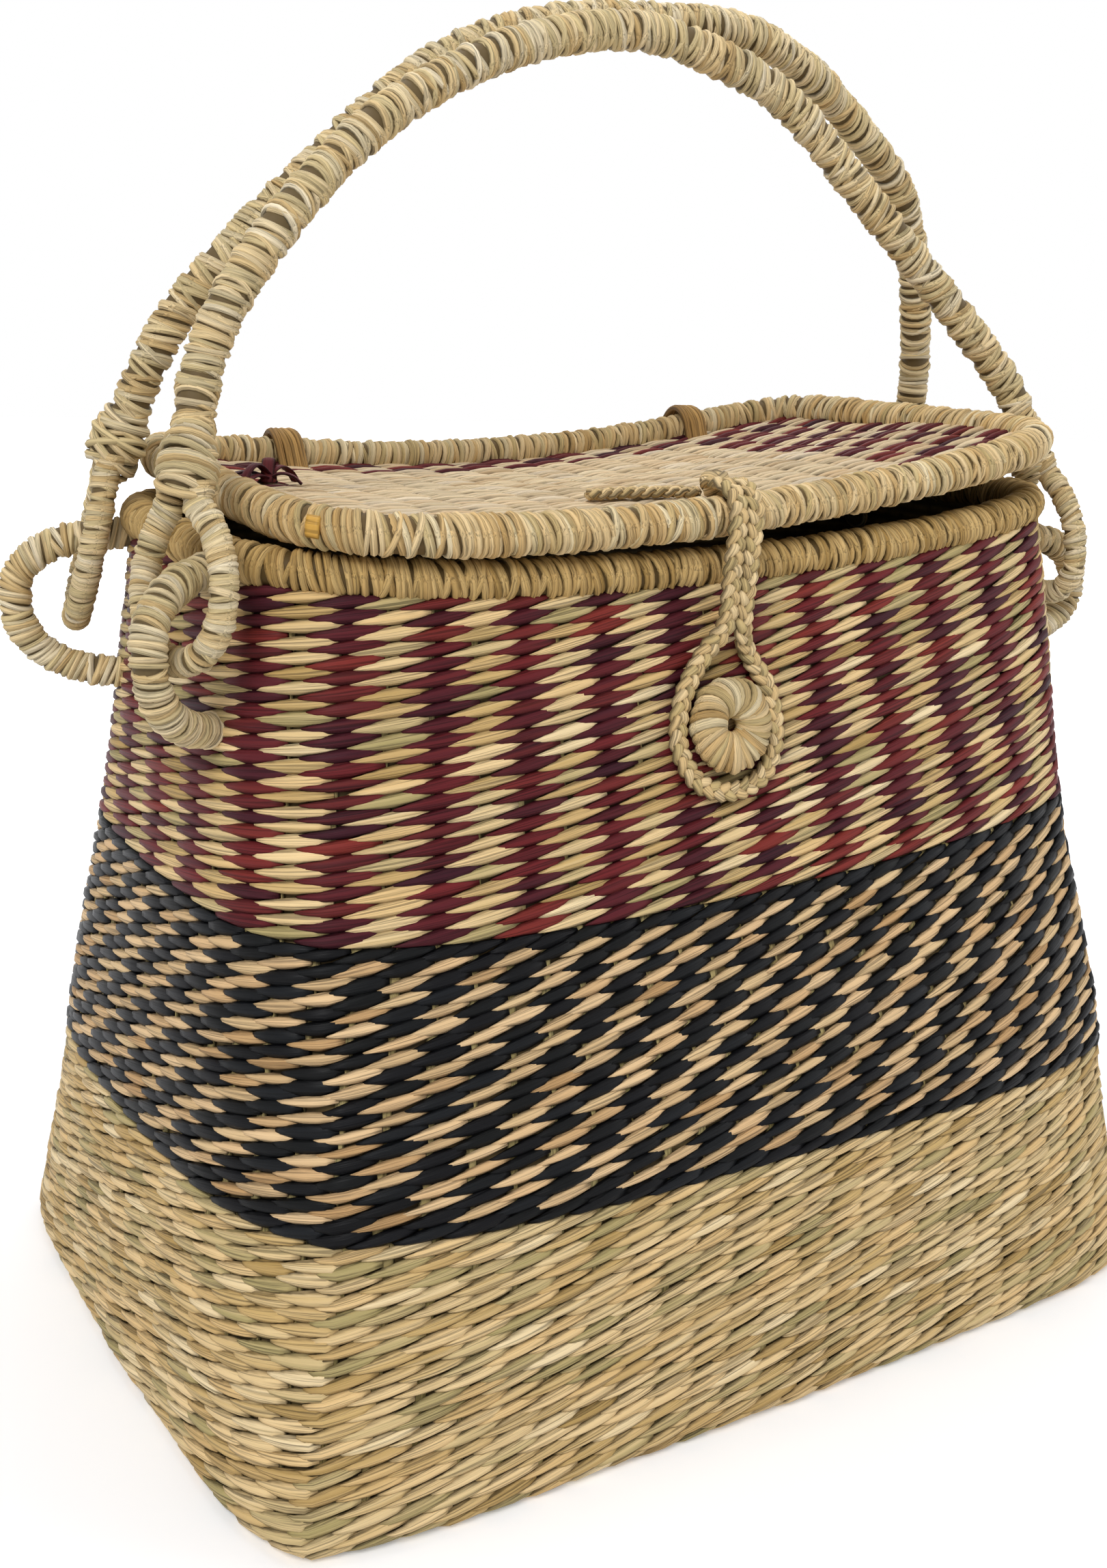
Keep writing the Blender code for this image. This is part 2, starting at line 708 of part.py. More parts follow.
def eye_path(end):
    """A long loop hung from the collar: (share of the half spread, share of the length)."""
    root = collar_ends(end)[1]
    up = (root - crossing(end)).normalized()
    length = (root - crossing(end)).length + EYE_DROPS[end]
    across = up.cross(outward(end)).normalized()
    narrow = EYE_ROOT_SPREAD / EYE_SPREADS[end]
    half = [(narrow, 0.0), (narrow, 0.05), (0.70, 0.20), (0.96, 0.42), (1.0, 0.62), (0.84, 0.83),
            (0.45, 0.965)]
    shares = [(-across_share, drop) for across_share, drop in half] + [(0.0, 1.0)]
    shares += [(across_share, drop) for across_share, drop in reversed(half)]
    collar_top, foot = collar_ends(end)
    along = (foot - collar_top).normalized()
    level = (across - along * across.dot(along)).normalized()
    start = foot + along * GAP
    knots = []
    for index, (across_share, drop) in enumerate(shares):
        straight = min(index, len(shares) - 1 - index) < 2
        side, down = (level, along) if straight else (across, -up)
        knots.append(start + side * (EYE_SPREADS[end] / 2 * across_share) + down * (length * drop))
    return [knots[0], *smooth_path(knots[1:-1], EYE_STEPS), knots[-1]]


def add_eye(end):
    return add_piece(end + "_eye", tube_curve(end + "_eye", eye_path(end), EYE_RADIUS), STRAW)


# Button and closing cord
def button_frame():
    face, out = wall_face(BUTTON_HEIGHT, BUTTON_X)
    x_axis = Vector((1, 0, 0))
    x_axis = (x_axis - out * x_axis.dot(out)).normalized()
    return face, out, x_axis, out.cross(x_axis)


def add_button():
    face, out, x_axis, up = button_frame()
    tube = (BUTTON_OUTER_RADIUS - BUTTON_HOLE_RADIUS) / 2
    frame = Matrix((x_axis, out.cross(x_axis), out)).transposed().to_4x4()
    bpy.ops.mesh.primitive_torus_add(
        major_segments=BUTTON_SEGMENTS, minor_segments=BUTTON_SEGMENTS // 2,
        major_radius=BUTTON_HOLE_RADIUS + tube, minor_radius=tube)
    maker = bpy.context.object
    mesh = maker.data
    mesh.transform(Matrix.Diagonal((1, 1, BUTTON_THICKNESS / 2 / tube, 1)))
    mesh.name = "button"
    bpy.data.objects.remove(maker, do_unlink=True)
    smooth(mesh)
    button = add_piece("button", mesh, STRAW)
    seat = face + out * (GAP + BUTTON_THICKNESS / 2)
    button.matrix_world = Matrix.Translation(seat) @ frame

    bpy.ops.mesh.primitive_cylinder_add(
        vertices=BUTTON_SEGMENTS // 2, radius=STITCH_RADIUS, depth=BUTTON_THICKNESS)
    maker = bpy.context.object
    mesh = maker.data
    mesh.name = "button_stitch"
    bpy.data.objects.remove(maker, do_unlink=True)
    stitch = add_piece("button_stitch", mesh, STRAW)
    stitch.matrix_world = Matrix.Translation(seat) @ frame


def closure_axis():
    return roll_centre_at(lid_point, PLAIT_X, -1)


def plait_y(height):
    """Distance to the front at which the cord lies on the wall at a height."""
    face, out = wall_face(height, BUTTON_X)
    return (face + out * (PLAIT_RADIUS + CORD_LIFT)).y


def closure_route():
    """Down over the lid's rim, round the button and up again: one doubled cord."""
    axis = closure_axis()
    radius = ROLL_RADIUS + RUNNING_GAP + PLAIT_RADIUS
    front = axis.y - radius
    half = []
    for degrees in (100, 75, 50, 25, 0):
        turn = math.radians(degrees)
        half.append((PLAIT_SPREAD / 2, axis.y - radius * math.cos(turn),
                     axis.z + radius * math.sin(turn)))
    split = BUTTON_HEIGHT + LOOP_SPLIT_RISE
    half.append((PLAIT_SPREAD / 2, front, (axis.z + split) / 2))
    half.append((PLAIT_SPREAD / 2 + GAP, min(front, plait_y(split)), split))
    bottom = BUTTON_OUTER_RADIUS + LOOP_BOTTOM_GAP + PLAIT_RADIUS
    for width_share, rise in ((0.45, 0.7 * LOOP_SPLIT_RISE), (0.86, 0.35 * LOOP_SPLIT_RISE),
                              (1.0, 0.0), (0.92, -0.45 * bottom), (0.60, -0.84 * bottom)):
        height = BUTTON_HEIGHT + rise
        half.append((width_share * LOOP_HALF_WIDTH, plait_y(height), height))
    height = BUTTON_HEIGHT - bottom
    lean_share = BUTTON_X - PLAIT_X
    drop = axis.z - BUTTON_HEIGHT

    def place(side, point):
        x, y, z = point
        drift = lean_share * min(1.0, max(0.0, (axis.z - z) / drop))
        return (PLAIT_X + drift + side * x, y, z)

    route = [place(-1, point) for point in half]
    route.append((BUTTON_X, plait_y(height), height))
    route += [place(1, point) for point in reversed(half)]
    return smooth_path(route, CORD_STEPS_PER_KNOT * (len(route) - 1))


def add_closure():
    cord = add_piece("closure_cord", tube_curve("closure_cord", closure_route(), PLAIT_RADIUS), STRAW)
    return cord


def panel_top(x, y):
    x_share = (x - LID_SHIFT_X) / (LID_WIDTH / 2)
    y_share = (y - LID_SHIFT_Y) / (LID_DEPTH / 2)
    return LID_HEIGHT + lid_saddle(x_share, y_share) + LID_PANEL_THICKNESS / 2


def add_tail():
    lift = TAIL_RADIUS + RUNNING_GAP
    route = [(x, y, panel_top(x, y) + lift) for x, y in TAIL_ROUTE]
    points = smooth_path(route, CORD_STEPS_PER_KNOT * (len(route) - 1))
    tail = add_piece("closure_tail", tube_curve("closure_tail", points, TAIL_RADIUS), STRAW)
    bpy.ops.mesh.primitive_uv_sphere_add(segments=14, ring_count=9, radius=KNOT_RADIUS)
    maker = bpy.context.object
    mesh = maker.data
    mesh.name = "closure_knot"
    bpy.data.objects.remove(maker, do_unlink=True)
    smooth(mesh)
    knot = add_piece("closure_knot", mesh, STRAW)
    start = points[0]
    away = (points[0] - points[1]).normalized()
    place = start + away * (KNOT_RADIUS + GAP)
    knot.location = (place.x, place.y, panel_top(place.x, place.y) + KNOT_RADIUS + RUNNING_GAP)
    return tail, knot


# Joints: an empty stands on each axis and carries the pieces that turn about it
def add_pivot(name, place):
    pivot = bpy.data.objects.new(name, None)
    BASKET.objects.link(pivot)
    pivot.location = place
    return pivot


def carry(pivot, pieces):
    for piece in pieces:
        piece.parent = pivot
        piece.matrix_parent_inverse = Matrix.Translation(-pivot.location)


def build():
    add_base()
    add_lower_band()
    add_wall_band("black_wall_band", upright(NATURAL_TOP + GAP / 2, BLACK_TOP - GAP / 2), BLACK_STRAW)
    top = RIM_HEIGHT - ROLL_CORE_RADIUS - GAP
    wall = add_wall_band("maroon_wall_band", upright(BLACK_TOP + GAP / 2, top), MAROON_STRAW)
    add_roll("body_rim", rim_point, BODY_SLOT_TILT - math.pi / 2, BODY_SLOT_HALF_ANGLE)

    add_roll("lid_rim", lid_point, math.pi, LID_SLOT_HALF_ANGLE)
    panel = add_lid_panel()
    add_tie("left_hinge_tie", -1, panel, wall)
    add_tie("right_hinge_tie", 1, panel, wall)

    wall_cutter, rim_cutter = wall_envelope(), rim_envelope()
    for end in EAR_YAWS:
        add_ear(end, wall_cutter, rim_cutter)
    for name, depth in (("front_handle", -1), ("back_handle", 1)):
        pieces = add_handle(name)
        for end in EAR_YAWS:
            if ends_of(end)[1] == depth:
                pieces += [add_collar(end), add_eye(end)]
        carry(add_pivot(name + "_pivot", (0, depth * PIVOT_SETBACK, PIVOT_HEIGHT)), pieces)

    add_button()
    closure = add_pivot("closure_pivot", closure_axis())
    carry(closure, [add_closure()])
    left, right = tie_centres(-1)[0], tie_centres(1)[0]
    lid = add_pivot("lid_pivot", (left + right) / 2)
    lid_pieces = [BASKET.objects[name] for name in ("lid_rim_core", "lid_rim_wrapping", "lid_panel")]
    carry(lid, lid_pieces + list(add_tail()))
    bpy.context.view_layer.update()


build()
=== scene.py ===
# %% [markdown]
# # A kiondo basket, dressed for its picture
# The real thing is a lidded hand basket: twined straw walls in three bands of colour, rims and
# handles wound with twisted straw, and a plaited loop that closes the lid over a wound button.
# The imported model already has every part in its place, so this lesson only adds what the eye
# reads as straw: the single stitches, the single turns of each winding, the plaits and the dyes.

import math
import random

import bpy
from mathutils import Matrix, Vector


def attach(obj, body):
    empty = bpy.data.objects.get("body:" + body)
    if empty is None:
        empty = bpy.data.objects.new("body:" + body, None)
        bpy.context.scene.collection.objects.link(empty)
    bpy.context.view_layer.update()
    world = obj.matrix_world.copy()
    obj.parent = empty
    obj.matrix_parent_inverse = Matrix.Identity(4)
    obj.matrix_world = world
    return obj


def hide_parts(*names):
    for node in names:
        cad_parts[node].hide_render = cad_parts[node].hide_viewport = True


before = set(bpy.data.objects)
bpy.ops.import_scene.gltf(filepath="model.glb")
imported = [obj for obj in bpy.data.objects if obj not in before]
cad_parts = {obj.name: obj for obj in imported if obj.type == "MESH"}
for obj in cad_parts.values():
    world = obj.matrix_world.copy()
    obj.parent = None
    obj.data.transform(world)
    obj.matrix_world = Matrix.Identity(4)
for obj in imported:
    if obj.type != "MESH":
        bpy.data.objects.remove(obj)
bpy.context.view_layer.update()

# %% [markdown]
# ## Camera
# The picture looks a little down on a corner of the basket. The camera stands where lines drawn
# through the picture's corners meet, and its small shift keeps the object where it was framed.

# %% Set up the camera
CAMERA_PLACE = Vector((-0.3767, -0.5531, 0.3805))
CAMERA_TURN = math.radians(-32.84)
CAMERA_PITCH = math.radians(15.87)
CAMERA_ROLL = math.radians(2.4)

side = Vector((math.cos(CAMERA_TURN), math.sin(CAMERA_TURN), 0))
ahead = Vector((-math.sin(CAMERA_TURN) * math.cos(CAMERA_PITCH),
                math.cos(CAMERA_TURN) * math.cos(CAMERA_PITCH), -math.sin(CAMERA_PITCH)))
above = side.cross(ahead)
right = side * math.cos(CAMERA_ROLL) + above * math.sin(CAMERA_ROLL)
upward = above * math.cos(CAMERA_ROLL) - side * math.sin(CAMERA_ROLL)

lens = bpy.data.cameras.new("photograph_view")
lens.lens = 38.68
lens.shift_x = -0.0017
lens.shift_y = 0.0188
lens.clip_start = 0.01
camera = bpy.data.objects.new("photograph_view", lens)
camera.matrix_world = (Matrix.Translation(CAMERA_PLACE)
                       @ Matrix((right, upward, -ahead)).transposed().to_4x4())
bpy.context.scene.collection.objects.link(camera)
bpy.context.scene.camera = camera
print("camera looks along", [round(value, 3) for value in ahead])

# %% [markdown]
# ## Colours and nodes
# Straw, dye and cane are written as the hex colours a maker would pick from a chart. Blender
# mixes light in linear values, so one function turns the one into the other. A second small
# function adds a node together with what feeds it, and both kinds of tree are built with it.

# %% Define the colour and node helpers
def linear(hex_colour):
    """An sRGB hex colour as the linear values that Blender mixes."""
    channels = [int(hex_colour[i:i + 2], 16) / 255 for i in (1, 3, 5)]
    return tuple(c / 12.92 if c <= 0.04045 else ((c + 0.055) / 1.055) ** 2.4 for c in channels) + (1,)


def add_node(tree, kind, feeds=None, **settings):
    """Adds a node with its settings; feeds maps an input to a value or to another node's output."""
    node = tree.nodes.new(kind)
    for name, value in settings.items():
        setattr(node, name, value)
    for key, value in (feeds or {}).items():
        if isinstance(value, bpy.types.NodeSocket):
            tree.links.new(value, node.inputs[key])
        else:
            node.inputs[key].default_value = value
    return node


print("straw in linear light:", [round(value, 3) for value in linear("#d8c08c")[:3]])

# %% [markdown]
# ## Light and floor
# The basket stands on a plain pale floor in soft light from above. One large lamp on the left
# gives the rolls their round shading, a weaker one opens the shadows on the right, and the world
# fills in the rest. The background is white only for the camera, so it adds no light.

# %% Build the floor, the world and the lamps
scene = bpy.context.scene
scene.view_settings.view_transform = "Standard"

FLOOR_HALF = 6.0
floor_mesh = bpy.data.meshes.new("pale_floor")
floor_mesh.from_pydata([(-FLOOR_HALF, -FLOOR_HALF, 0), (FLOOR_HALF, -FLOOR_HALF, 0),
                        (FLOOR_HALF, FLOOR_HALF, 0), (-FLOOR_HALF, FLOOR_HALF, 0)], [], [(0, 1, 2, 3)])
floor = bpy.data.objects.new("pale_floor", floor_mesh)
scene.collection.objects.link(floor)
paper = bpy.data.materials.new("white_paper_floor")
paper.use_nodes = True
sheet_tree = paper.node_tree
sheet_shader = sheet_tree.nodes["Principled BSDF"]
sheet_shader.inputs["Base Color"].default_value = linear("#f2f2f2")
sheet_shader.inputs["Roughness"].default_value = 0.9
sheet_shader.inputs["Specular IOR Level"].default_value = 0.1
# painted light: the paper glows more the farther it is from the basket and turns to plain white there, as a lit
# sweep does; the glow shows only to the eye and in glossy reflections
sheet_place = add_node(sheet_tree, "ShaderNodeTexCoord")
far = add_node(sheet_tree, "ShaderNodeVectorMath", {0: sheet_place.outputs["Object"]}, operation="LENGTH")
whiter = add_node(sheet_tree, "ShaderNodeMapRange", {"Value": far.outputs["Value"], "From Min": 0.25,
                                                     "From Max": 1.1, "To Min": 0.22, "To Max": 1.0},
                  interpolation_type="SMOOTHSTEP")
straight = add_node(sheet_tree, "ShaderNodeLightPath")
shown = add_node(sheet_tree, "ShaderNodeMath", {0: straight.outputs["Is Camera Ray"],
                                                1: straight.outputs["Is Glossy Ray"]}, operation="MAXIMUM")
glow = add_node(sheet_tree, "ShaderNodeMath", {0: whiter.outputs[0], 1: shown.outputs[0]},
                operation="MULTIPLY")
sheet_tree.links.new(glow.outputs[0], sheet_shader.inputs["Emission Strength"])
sheet_shader.inputs["Emission Color"].default_value = linear("#ffffff")
floor_mesh.materials.append(paper)

world = bpy.data.worlds.new("soft_studio")
world.use_nodes = True
scene.world = world
sky = world.node_tree
sky.nodes.clear()
seen = add_node(sky, "ShaderNodeLightPath")
straight = add_node(sky, "ShaderNodeMath", {0: seen.outputs["Is Camera Ray"],
                                            1: seen.outputs["Is Glossy Ray"]}, operation="MAXIMUM")
fill = add_node(sky, "ShaderNodeBackground", {"Color": linear("#f6f7ff"), "Strength": 0.40})
white = add_node(sky, "ShaderNodeBackground", {"Color": linear("#ffffff"), "Strength": 1.0})
both = add_node(sky, "ShaderNodeMixShader", {0: straight.outputs[0], 1: fill.outputs[0],
                                             2: white.outputs[0]})
add_node(sky, "ShaderNodeOutputWorld", {"Surface": both.outputs[0]})


def add_lamp(name, place, target, size, power):
    """A square soft lamp that faces a point of the basket."""
    data = bpy.data.lights.new(name, "AREA")
    data.size = size
    data.energy = power
    lamp = bpy.data.objects.new(name, data)
    lamp.matrix_world = (Matrix.Translation(place)
                         @ (Vector(target) - Vector(place)).to_track_quat("-Z", "Y").to_matrix().to_4x4())
    scene.collection.objects.link(lamp)


add_lamp("key_softbox", (-1.35, -1.15, 1.9), (0, 0, 0.2), 1.0, 33)
add_lamp("fill_softbox", (1.6, -0.9, 1.1), (0, 0, 0.2), 1.2, 9)
add_lamp("top_softbox", (0.2, 0.6, 2.1), (0, 0, 0.3), 1.4, 13)

# %% [markdown]
# ## The shape that the straw follows
# The wall is a rounded rectangle that narrows towards the rim and sways a little there. It is
# written as a superellipse whose width, depth and corner sharpness change smoothly with height.
# The same few numbers place the rims, so stitches and windings meet where they do on the basket.

# %% Define the outlines of wall, rim and lid
RIM_HEIGHT = 0.30965
NATURAL_TOP = 0.1023
BLACK_TOP = 0.1957
WALL_TOP = 0.30475
WALL_THICKNESS = 0.005
FOOT_ROUND = 0.008
ROLL_RADIUS = 0.0075
RIM = dict(width=0.3468, depth=0.1646, height=RIM_HEIGHT, shift=(-0.0037, 0.0022), powers=(4.1, 6.4),
           sway=(0.00745, 0.00535, 0.00695, -0.00295, -0.00145))
LID = dict(width=0.3220, depth=0.1770, height=0.3261, shift=(-0.0022, 0.0035), powers=(6.0, 8.8),
           sway=(0.0120, 0.0031, 0.0122, 0.0013, -0.0032))
# height, width, depth, left power, right power, shift x, shift y, share of the rim's sway
WALL_LEVELS = [
    (0.0, 0.420, 0.299, 6.8, 6.8, 0.0, 0.0, 0.0),
    (NATURAL_TOP, 0.405, 0.288, 4.3, 4.3, 0.0, 0.0, 0.0),
    (BLACK_TOP, 0.381, 0.220, 4.6, 4.6, 0.0, 0.0, 0.9),
    (RIM_HEIGHT, 0.3518, 0.1696, 4.1, 6.4, -0.0037, 0.0022, 1.0),
]


def outline_share(angle, left_power, right_power):
    across, along = math.cos(angle), math.sin(angle)
    power = left_power if across < 0 else right_power
    size = (abs(across) ** power + abs(along) ** power) ** (-1 / power)
    return across * size, along * size


def sway(ring, x_share, y_share):
    """How far a hand-bent ring rises at a place, from its tilts, end rises and twist."""
    side_tilt, back_tilt, end_rise, back_end_rise, twist = ring["sway"]
    return (side_tilt * x_share + back_tilt * y_share + twist * x_share * y_share
            + (end_rise + back_end_rise * y_share) * x_share ** 2)


def ring_point(ring, angle):
    x_share, y_share = outline_share(angle, *ring["powers"])
    return Vector((ring["shift"][0] + ring["width"] / 2 * x_share,
                   ring["shift"][1] + ring["depth"] / 2 * y_share,
                   ring["height"] + sway(ring, x_share, y_share)))


def level_slope(index, column):
    slopes = []
    for low, high in ((index - 1, index), (index, index + 1)):
        if 0 <= low and high < len(WALL_LEVELS):
            below, over = WALL_LEVELS[low], WALL_LEVELS[high]
            slopes.append((over[column] - below[column]) / (over[0] - below[0]))
    if len(slopes) == 1:
        return slopes[0]
    return 0.0 if slopes[0] * slopes[1] <= 0 else 2 * slopes[0] * slopes[1] / (slopes[0] + slopes[1])


def wall_size(height, column):
    """One column of the level table at any height, as a smooth curve through the levels."""
    index = 0
    while index < len(WALL_LEVELS) - 2 and height > WALL_LEVELS[index + 1][0]:
        index += 1
    below, over = WALL_LEVELS[index], WALL_LEVELS[index + 1]
    run = over[0] - below[0]
    t = (height - below[0]) / run
    start_slope, end_slope = level_slope(index, column) * run, level_slope(index + 1, column) * run
    return ((2 * t ** 3 - 3 * t ** 2 + 1) * below[column] + (t ** 3 - 2 * t ** 2 + t) * start_slope
            + (3 * t ** 2 - 2 * t ** 3) * over[column] + (t ** 3 - t ** 2) * end_slope)


CORNER_PEAK = 0.040
CORNER_HOLLOW = 0.013
CORNER_WIDTH = 0.085


def corner_pinch(x_share, y_share, height):
    """The hand-folded corners: a narrow ridge between sides that bow in a little beside it."""
    off = abs(math.atan2(abs(y_share), abs(x_share)) - math.pi / 4)
    ridge = CORNER_PEAK * math.exp(-off / CORNER_WIDTH) - CORNER_HOLLOW * (1 - (off / (math.pi / 4)) ** 2)
    return 1 + ridge * (1 - 0.75 * height / RIM_HEIGHT)


def wall_point(height, angle, inset=0.0):
    if height < FOOT_ROUND:
        inset += FOOT_ROUND - math.sqrt(FOOT_ROUND ** 2 - (FOOT_ROUND - height) ** 2)
    x_share, y_share = outline_share(angle, wall_size(height, 3), wall_size(height, 4))
    pinch = corner_pinch(x_share, y_share, height)
    return Vector((wall_size(height, 5) + (wall_size(height, 1) / 2 - inset) * x_share * pinch,
                   wall_size(height, 6) + (wall_size(height, 2) / 2 - inset) * y_share * pinch,
                   height + wall_size(height, 7) * sway(RIM, x_share, y_share)))


print("wall at half height:", [round(1000 * wall_size(0.15, column)) for column in (1, 2)], "mm")

# %% [markdown]
# ## A skin to weave on
# Stitches are easiest to lay out flat, in rows and columns, like the drawing of a pattern. Each
# woven face then gets a skin: a fine grid that knows where every flat place lies on the basket
# and which way is out. Laying a flat stitch on the skin bends it round the corners by itself.

# %% Make the skins of the wall, the lid and the base
SKIN_COLUMNS = 256
ARC_TRIES = 1440


def even_ring(point_of, count):
    """Angles that part a ring into equal lengths, starting at the middle of the front."""
    angles = [-math.pi / 2 + 2 * math.pi * step / ARC_TRIES for step in range(ARC_TRIES + 1)]
    points = [point_of(angle) for angle in angles]
    lengths = [0.0]
    for before, after in zip(points, points[1:]):
        lengths.append(lengths[-1] + (after - before).length)
    even, index = [], 0
    for step in range(count + 1):
        wanted = lengths[-1] * step / count
        while index < ARC_TRIES - 1 and lengths[index + 1] < wanted:
            index += 1
        part = (wanted - lengths[index]) / (lengths[index + 1] - lengths[index])
        even.append(angles[index] + (angles[index + 1] - angles[index]) * min(part, 1.0))
    return even


def grid_mesh(name, rows):
    """A mesh through rows of points with a flat map and the outward direction at each point."""
    tall, wide = len(rows), len(rows[0])
    faces = [(j * wide + i, j * wide + i + 1, (j + 1) * wide + i + 1, (j + 1) * wide + i)
             for j in range(tall - 1) for i in range(wide - 1)]
    mesh = bpy.data.meshes.new(name)
    mesh.from_pydata([point for row in rows for point in row], [], faces)
    flat = mesh.uv_layers.new(name="flat")
    for loop in mesh.loops:
        j, i = divmod(loop.vertex_index, wide)
        flat.data[loop.index].uv = (i / (wide - 1), j / (tall - 1))
    out = mesh.attributes.new("out", "FLOAT_VECTOR", "POINT")
    for j in range(tall):
        for i in range(wide):
            along = rows[j][min(i + 1, wide - 1)] - rows[j][max(i - 1, 0)]
            if wide > SKIN_COLUMNS and i in (0, wide - 1):
                along = rows[j][1] - rows[j][wide - 2]
            upright = rows[min(j + 1, tall - 1)][i] - rows[max(j - 1, 0)][i]
            out.data[j * wide + i].vector = along.cross(upright).normalized()
    return mesh


def wall_skin(name, bottom, top, levels, inset=0.0):
    rows = []
    for step in range(levels + 1):
        height = bottom + (top - bottom) * step / levels
        rows.append([wall_point(height, angle, inset)
                     for angle in even_ring(lambda turn: wall_point(height, turn), SKIN_COLUMNS)])
    return bpy.data.objects.new(name, grid_mesh(name, rows))


BANDS = {"natural": (0.0, NATURAL_TOP, 20), "black": (NATURAL_TOP, BLACK_TOP, 20),
         "maroon": (BLACK_TOP, WALL_TOP, 23)}
skins = {name: wall_skin(name + "_skin", bottom, top, 2 * rows)
         for name, (bottom, top, rows) in BANDS.items()}
print("skin points:", {name: len(skin.data.vertices) for name, skin in skins.items()})

# %% [markdown]
# ## Straw, plain and dyed
# The weft is sun-dried straw, split and rolled damp between finger and thumb, so each stitch
# keeps long creases and a satin side. No two are the same colour: they run from pale sand to
# olive and tan. The dye pots give a brown-violet maroon with redder lengths, and a black that
# shows grey where it catches light. The creases are a noise stretched along each stitch, whose
# place on it in millimetres is kept in the attribute "fibre".

# %% Define the straw finishes
def straw_finish(name, shades, streak_depth, roughness, relief=0.55, hollow=0.22, gloss=0.2,
                 edge=0.80):
    """A finish of stretched creases over a colour that each stitch picks from its shades.

    hollow is the share of the colour that is left where a straw turns in beside its neighbour, as a painted shade."""
    material = bpy.data.materials.new(name)
    material.use_nodes = True
    tree = material.node_tree
    shader = tree.nodes["Principled BSDF"]
    fibre = add_node(tree, "ShaderNodeAttribute", attribute_name="fibre")
    tint = add_node(tree, "ShaderNodeAttribute", attribute_name="tint")
    # creases about 0.6 mm apart and a centimetre or two long
    crease_space = add_node(tree, "ShaderNodeVectorMath", {0: fibre.outputs["Vector"],
                                                           1: (0.055, 1.5, 1.0)}, operation="MULTIPLY")
    crease = add_node(tree, "ShaderNodeTexNoise", {"Vector": crease_space.outputs[0], "Scale": 1.0,
                                                   "Detail": 3.0, "Roughness": 0.6})
    # broader ribs about 2 mm apart, where one straw of a bundle lies beside the next
    rib_space = add_node(tree, "ShaderNodeVectorMath", {0: fibre.outputs["Vector"],
                                                        1: (0.035, 0.5, 1.0)}, operation="MULTIPLY")
    rib = add_node(tree, "ShaderNodeTexNoise", {"Vector": rib_space.outputs[0], "Scale": 1.0,
                                                "Detail": 1.5})
    wander = add_node(tree, "ShaderNodeMath", {0: rib.outputs[0], 1: 0.20, 2: -0.10},
                      operation="MULTIPLY_ADD")
    pick = add_node(tree, "ShaderNodeMath", {0: tint.outputs["Fac"], 1: wander.outputs[0]},
                    operation="ADD", use_clamp=True)
    ramp = add_node(tree, "ShaderNodeValToRGB", {0: pick.outputs[0]})
    stops = ramp.color_ramp.elements
    while len(stops) < len(shades):
        stops.new(0.5)
    for index, shade in enumerate(shades):
        stops[index].position = index / (len(shades) - 1)
        stops[index].color = linear(shade)
    dark = add_node(tree, "ShaderNodeMapRange", {"Value": crease.outputs[0], "From Min": 0.36,
                                                 "From Max": 0.52, "To Min": 1 - streak_depth,
                                                 "To Max": 1.0})
    lit = add_node(tree, "ShaderNodeVectorMath", {0: ramp.outputs[0], "Scale": dark.outputs[0]},
                   operation="SCALE")
    # painted shade: the colour darkens where a straw turns in beside its neighbour; "crown" is 1 on its back and 0
    # at its edge
    crown = add_node(tree, "ShaderNodeAttribute", attribute_name="crown")
    shade = add_node(tree, "ShaderNodeMapRange", {"Value": crown.outputs["Fac"], "From Min": 0.0,
                                                  "From Max": edge, "To Min": hollow, "To Max": 1.0})
    shaded = add_node(tree, "ShaderNodeVectorMath", {0: lit.outputs[0], "Scale": shade.outputs[0]},
                      operation="SCALE")
    tree.links.new(shaded.outputs[0], shader.inputs["Base Color"])
    heights = add_node(tree, "ShaderNodeMath", {0: rib.outputs[0], 1: 1.6, 2: crease.outputs[0]},
                       operation="MULTIPLY_ADD")
    bump = add_node(tree, "ShaderNodeBump", {"Height": heights.outputs[0], "Strength": relief,
                                             "Distance": 0.0008})
    tree.links.new(bump.outputs[0], shader.inputs["Normal"])
    shader.inputs["Roughness"].default_value = roughness
    shader.inputs["Specular IOR Level"].default_value = gloss
    return material


woven_straw = straw_finish("natural_woven_straw",
                           ["#b8985c", "#e8c488", "#f4d6a0", "#b0a06a", "#ecce98", "#cfae70", "#fae2b2"], 0.6, 0.6)
peach_straw = straw_finish("faded_straw_between_black",
                           ["#c09866", "#e2bc8a", "#ecca9a", "#d2b080", "#e6c694"], 0.55, 0.6)
panel_straw = straw_finish("pale_lid_straw",
                           ["#d9ba8e", "#ebd0a6", "#f0dab2", "#e4caa0", "#f2dfc0"], 0.45, 0.6)
maroon_straw = straw_finish("maroon_dyed_straw",
                            ["#3a1620", "#561f25", "#6e2426", "#431a22", "#84322a", "#5a2026"], 0.55, 0.5,
                            gloss=0.12)
black_straw = straw_finish("black_dyed_straw",
                           ["#08080a", "#0f0f12", "#0b0c0c", "#16181b"], 0.4, 0.42, gloss=0.12)
wound_straw = straw_finish("wound_straw",
                           ["#c9a468", "#e6c48a", "#f2d7a4", "#e0c088", "#cdb47c", "#f8e4b8"], 0.6, 0.62, edge=0.92)
handle_straw = straw_finish("paler_wound_straw",
                            ["#d0b078", "#eed29c", "#f6e0b4", "#e8d09a", "#d4c090", "#fbeac6"],
                            0.6, 0.62, edge=0.94)
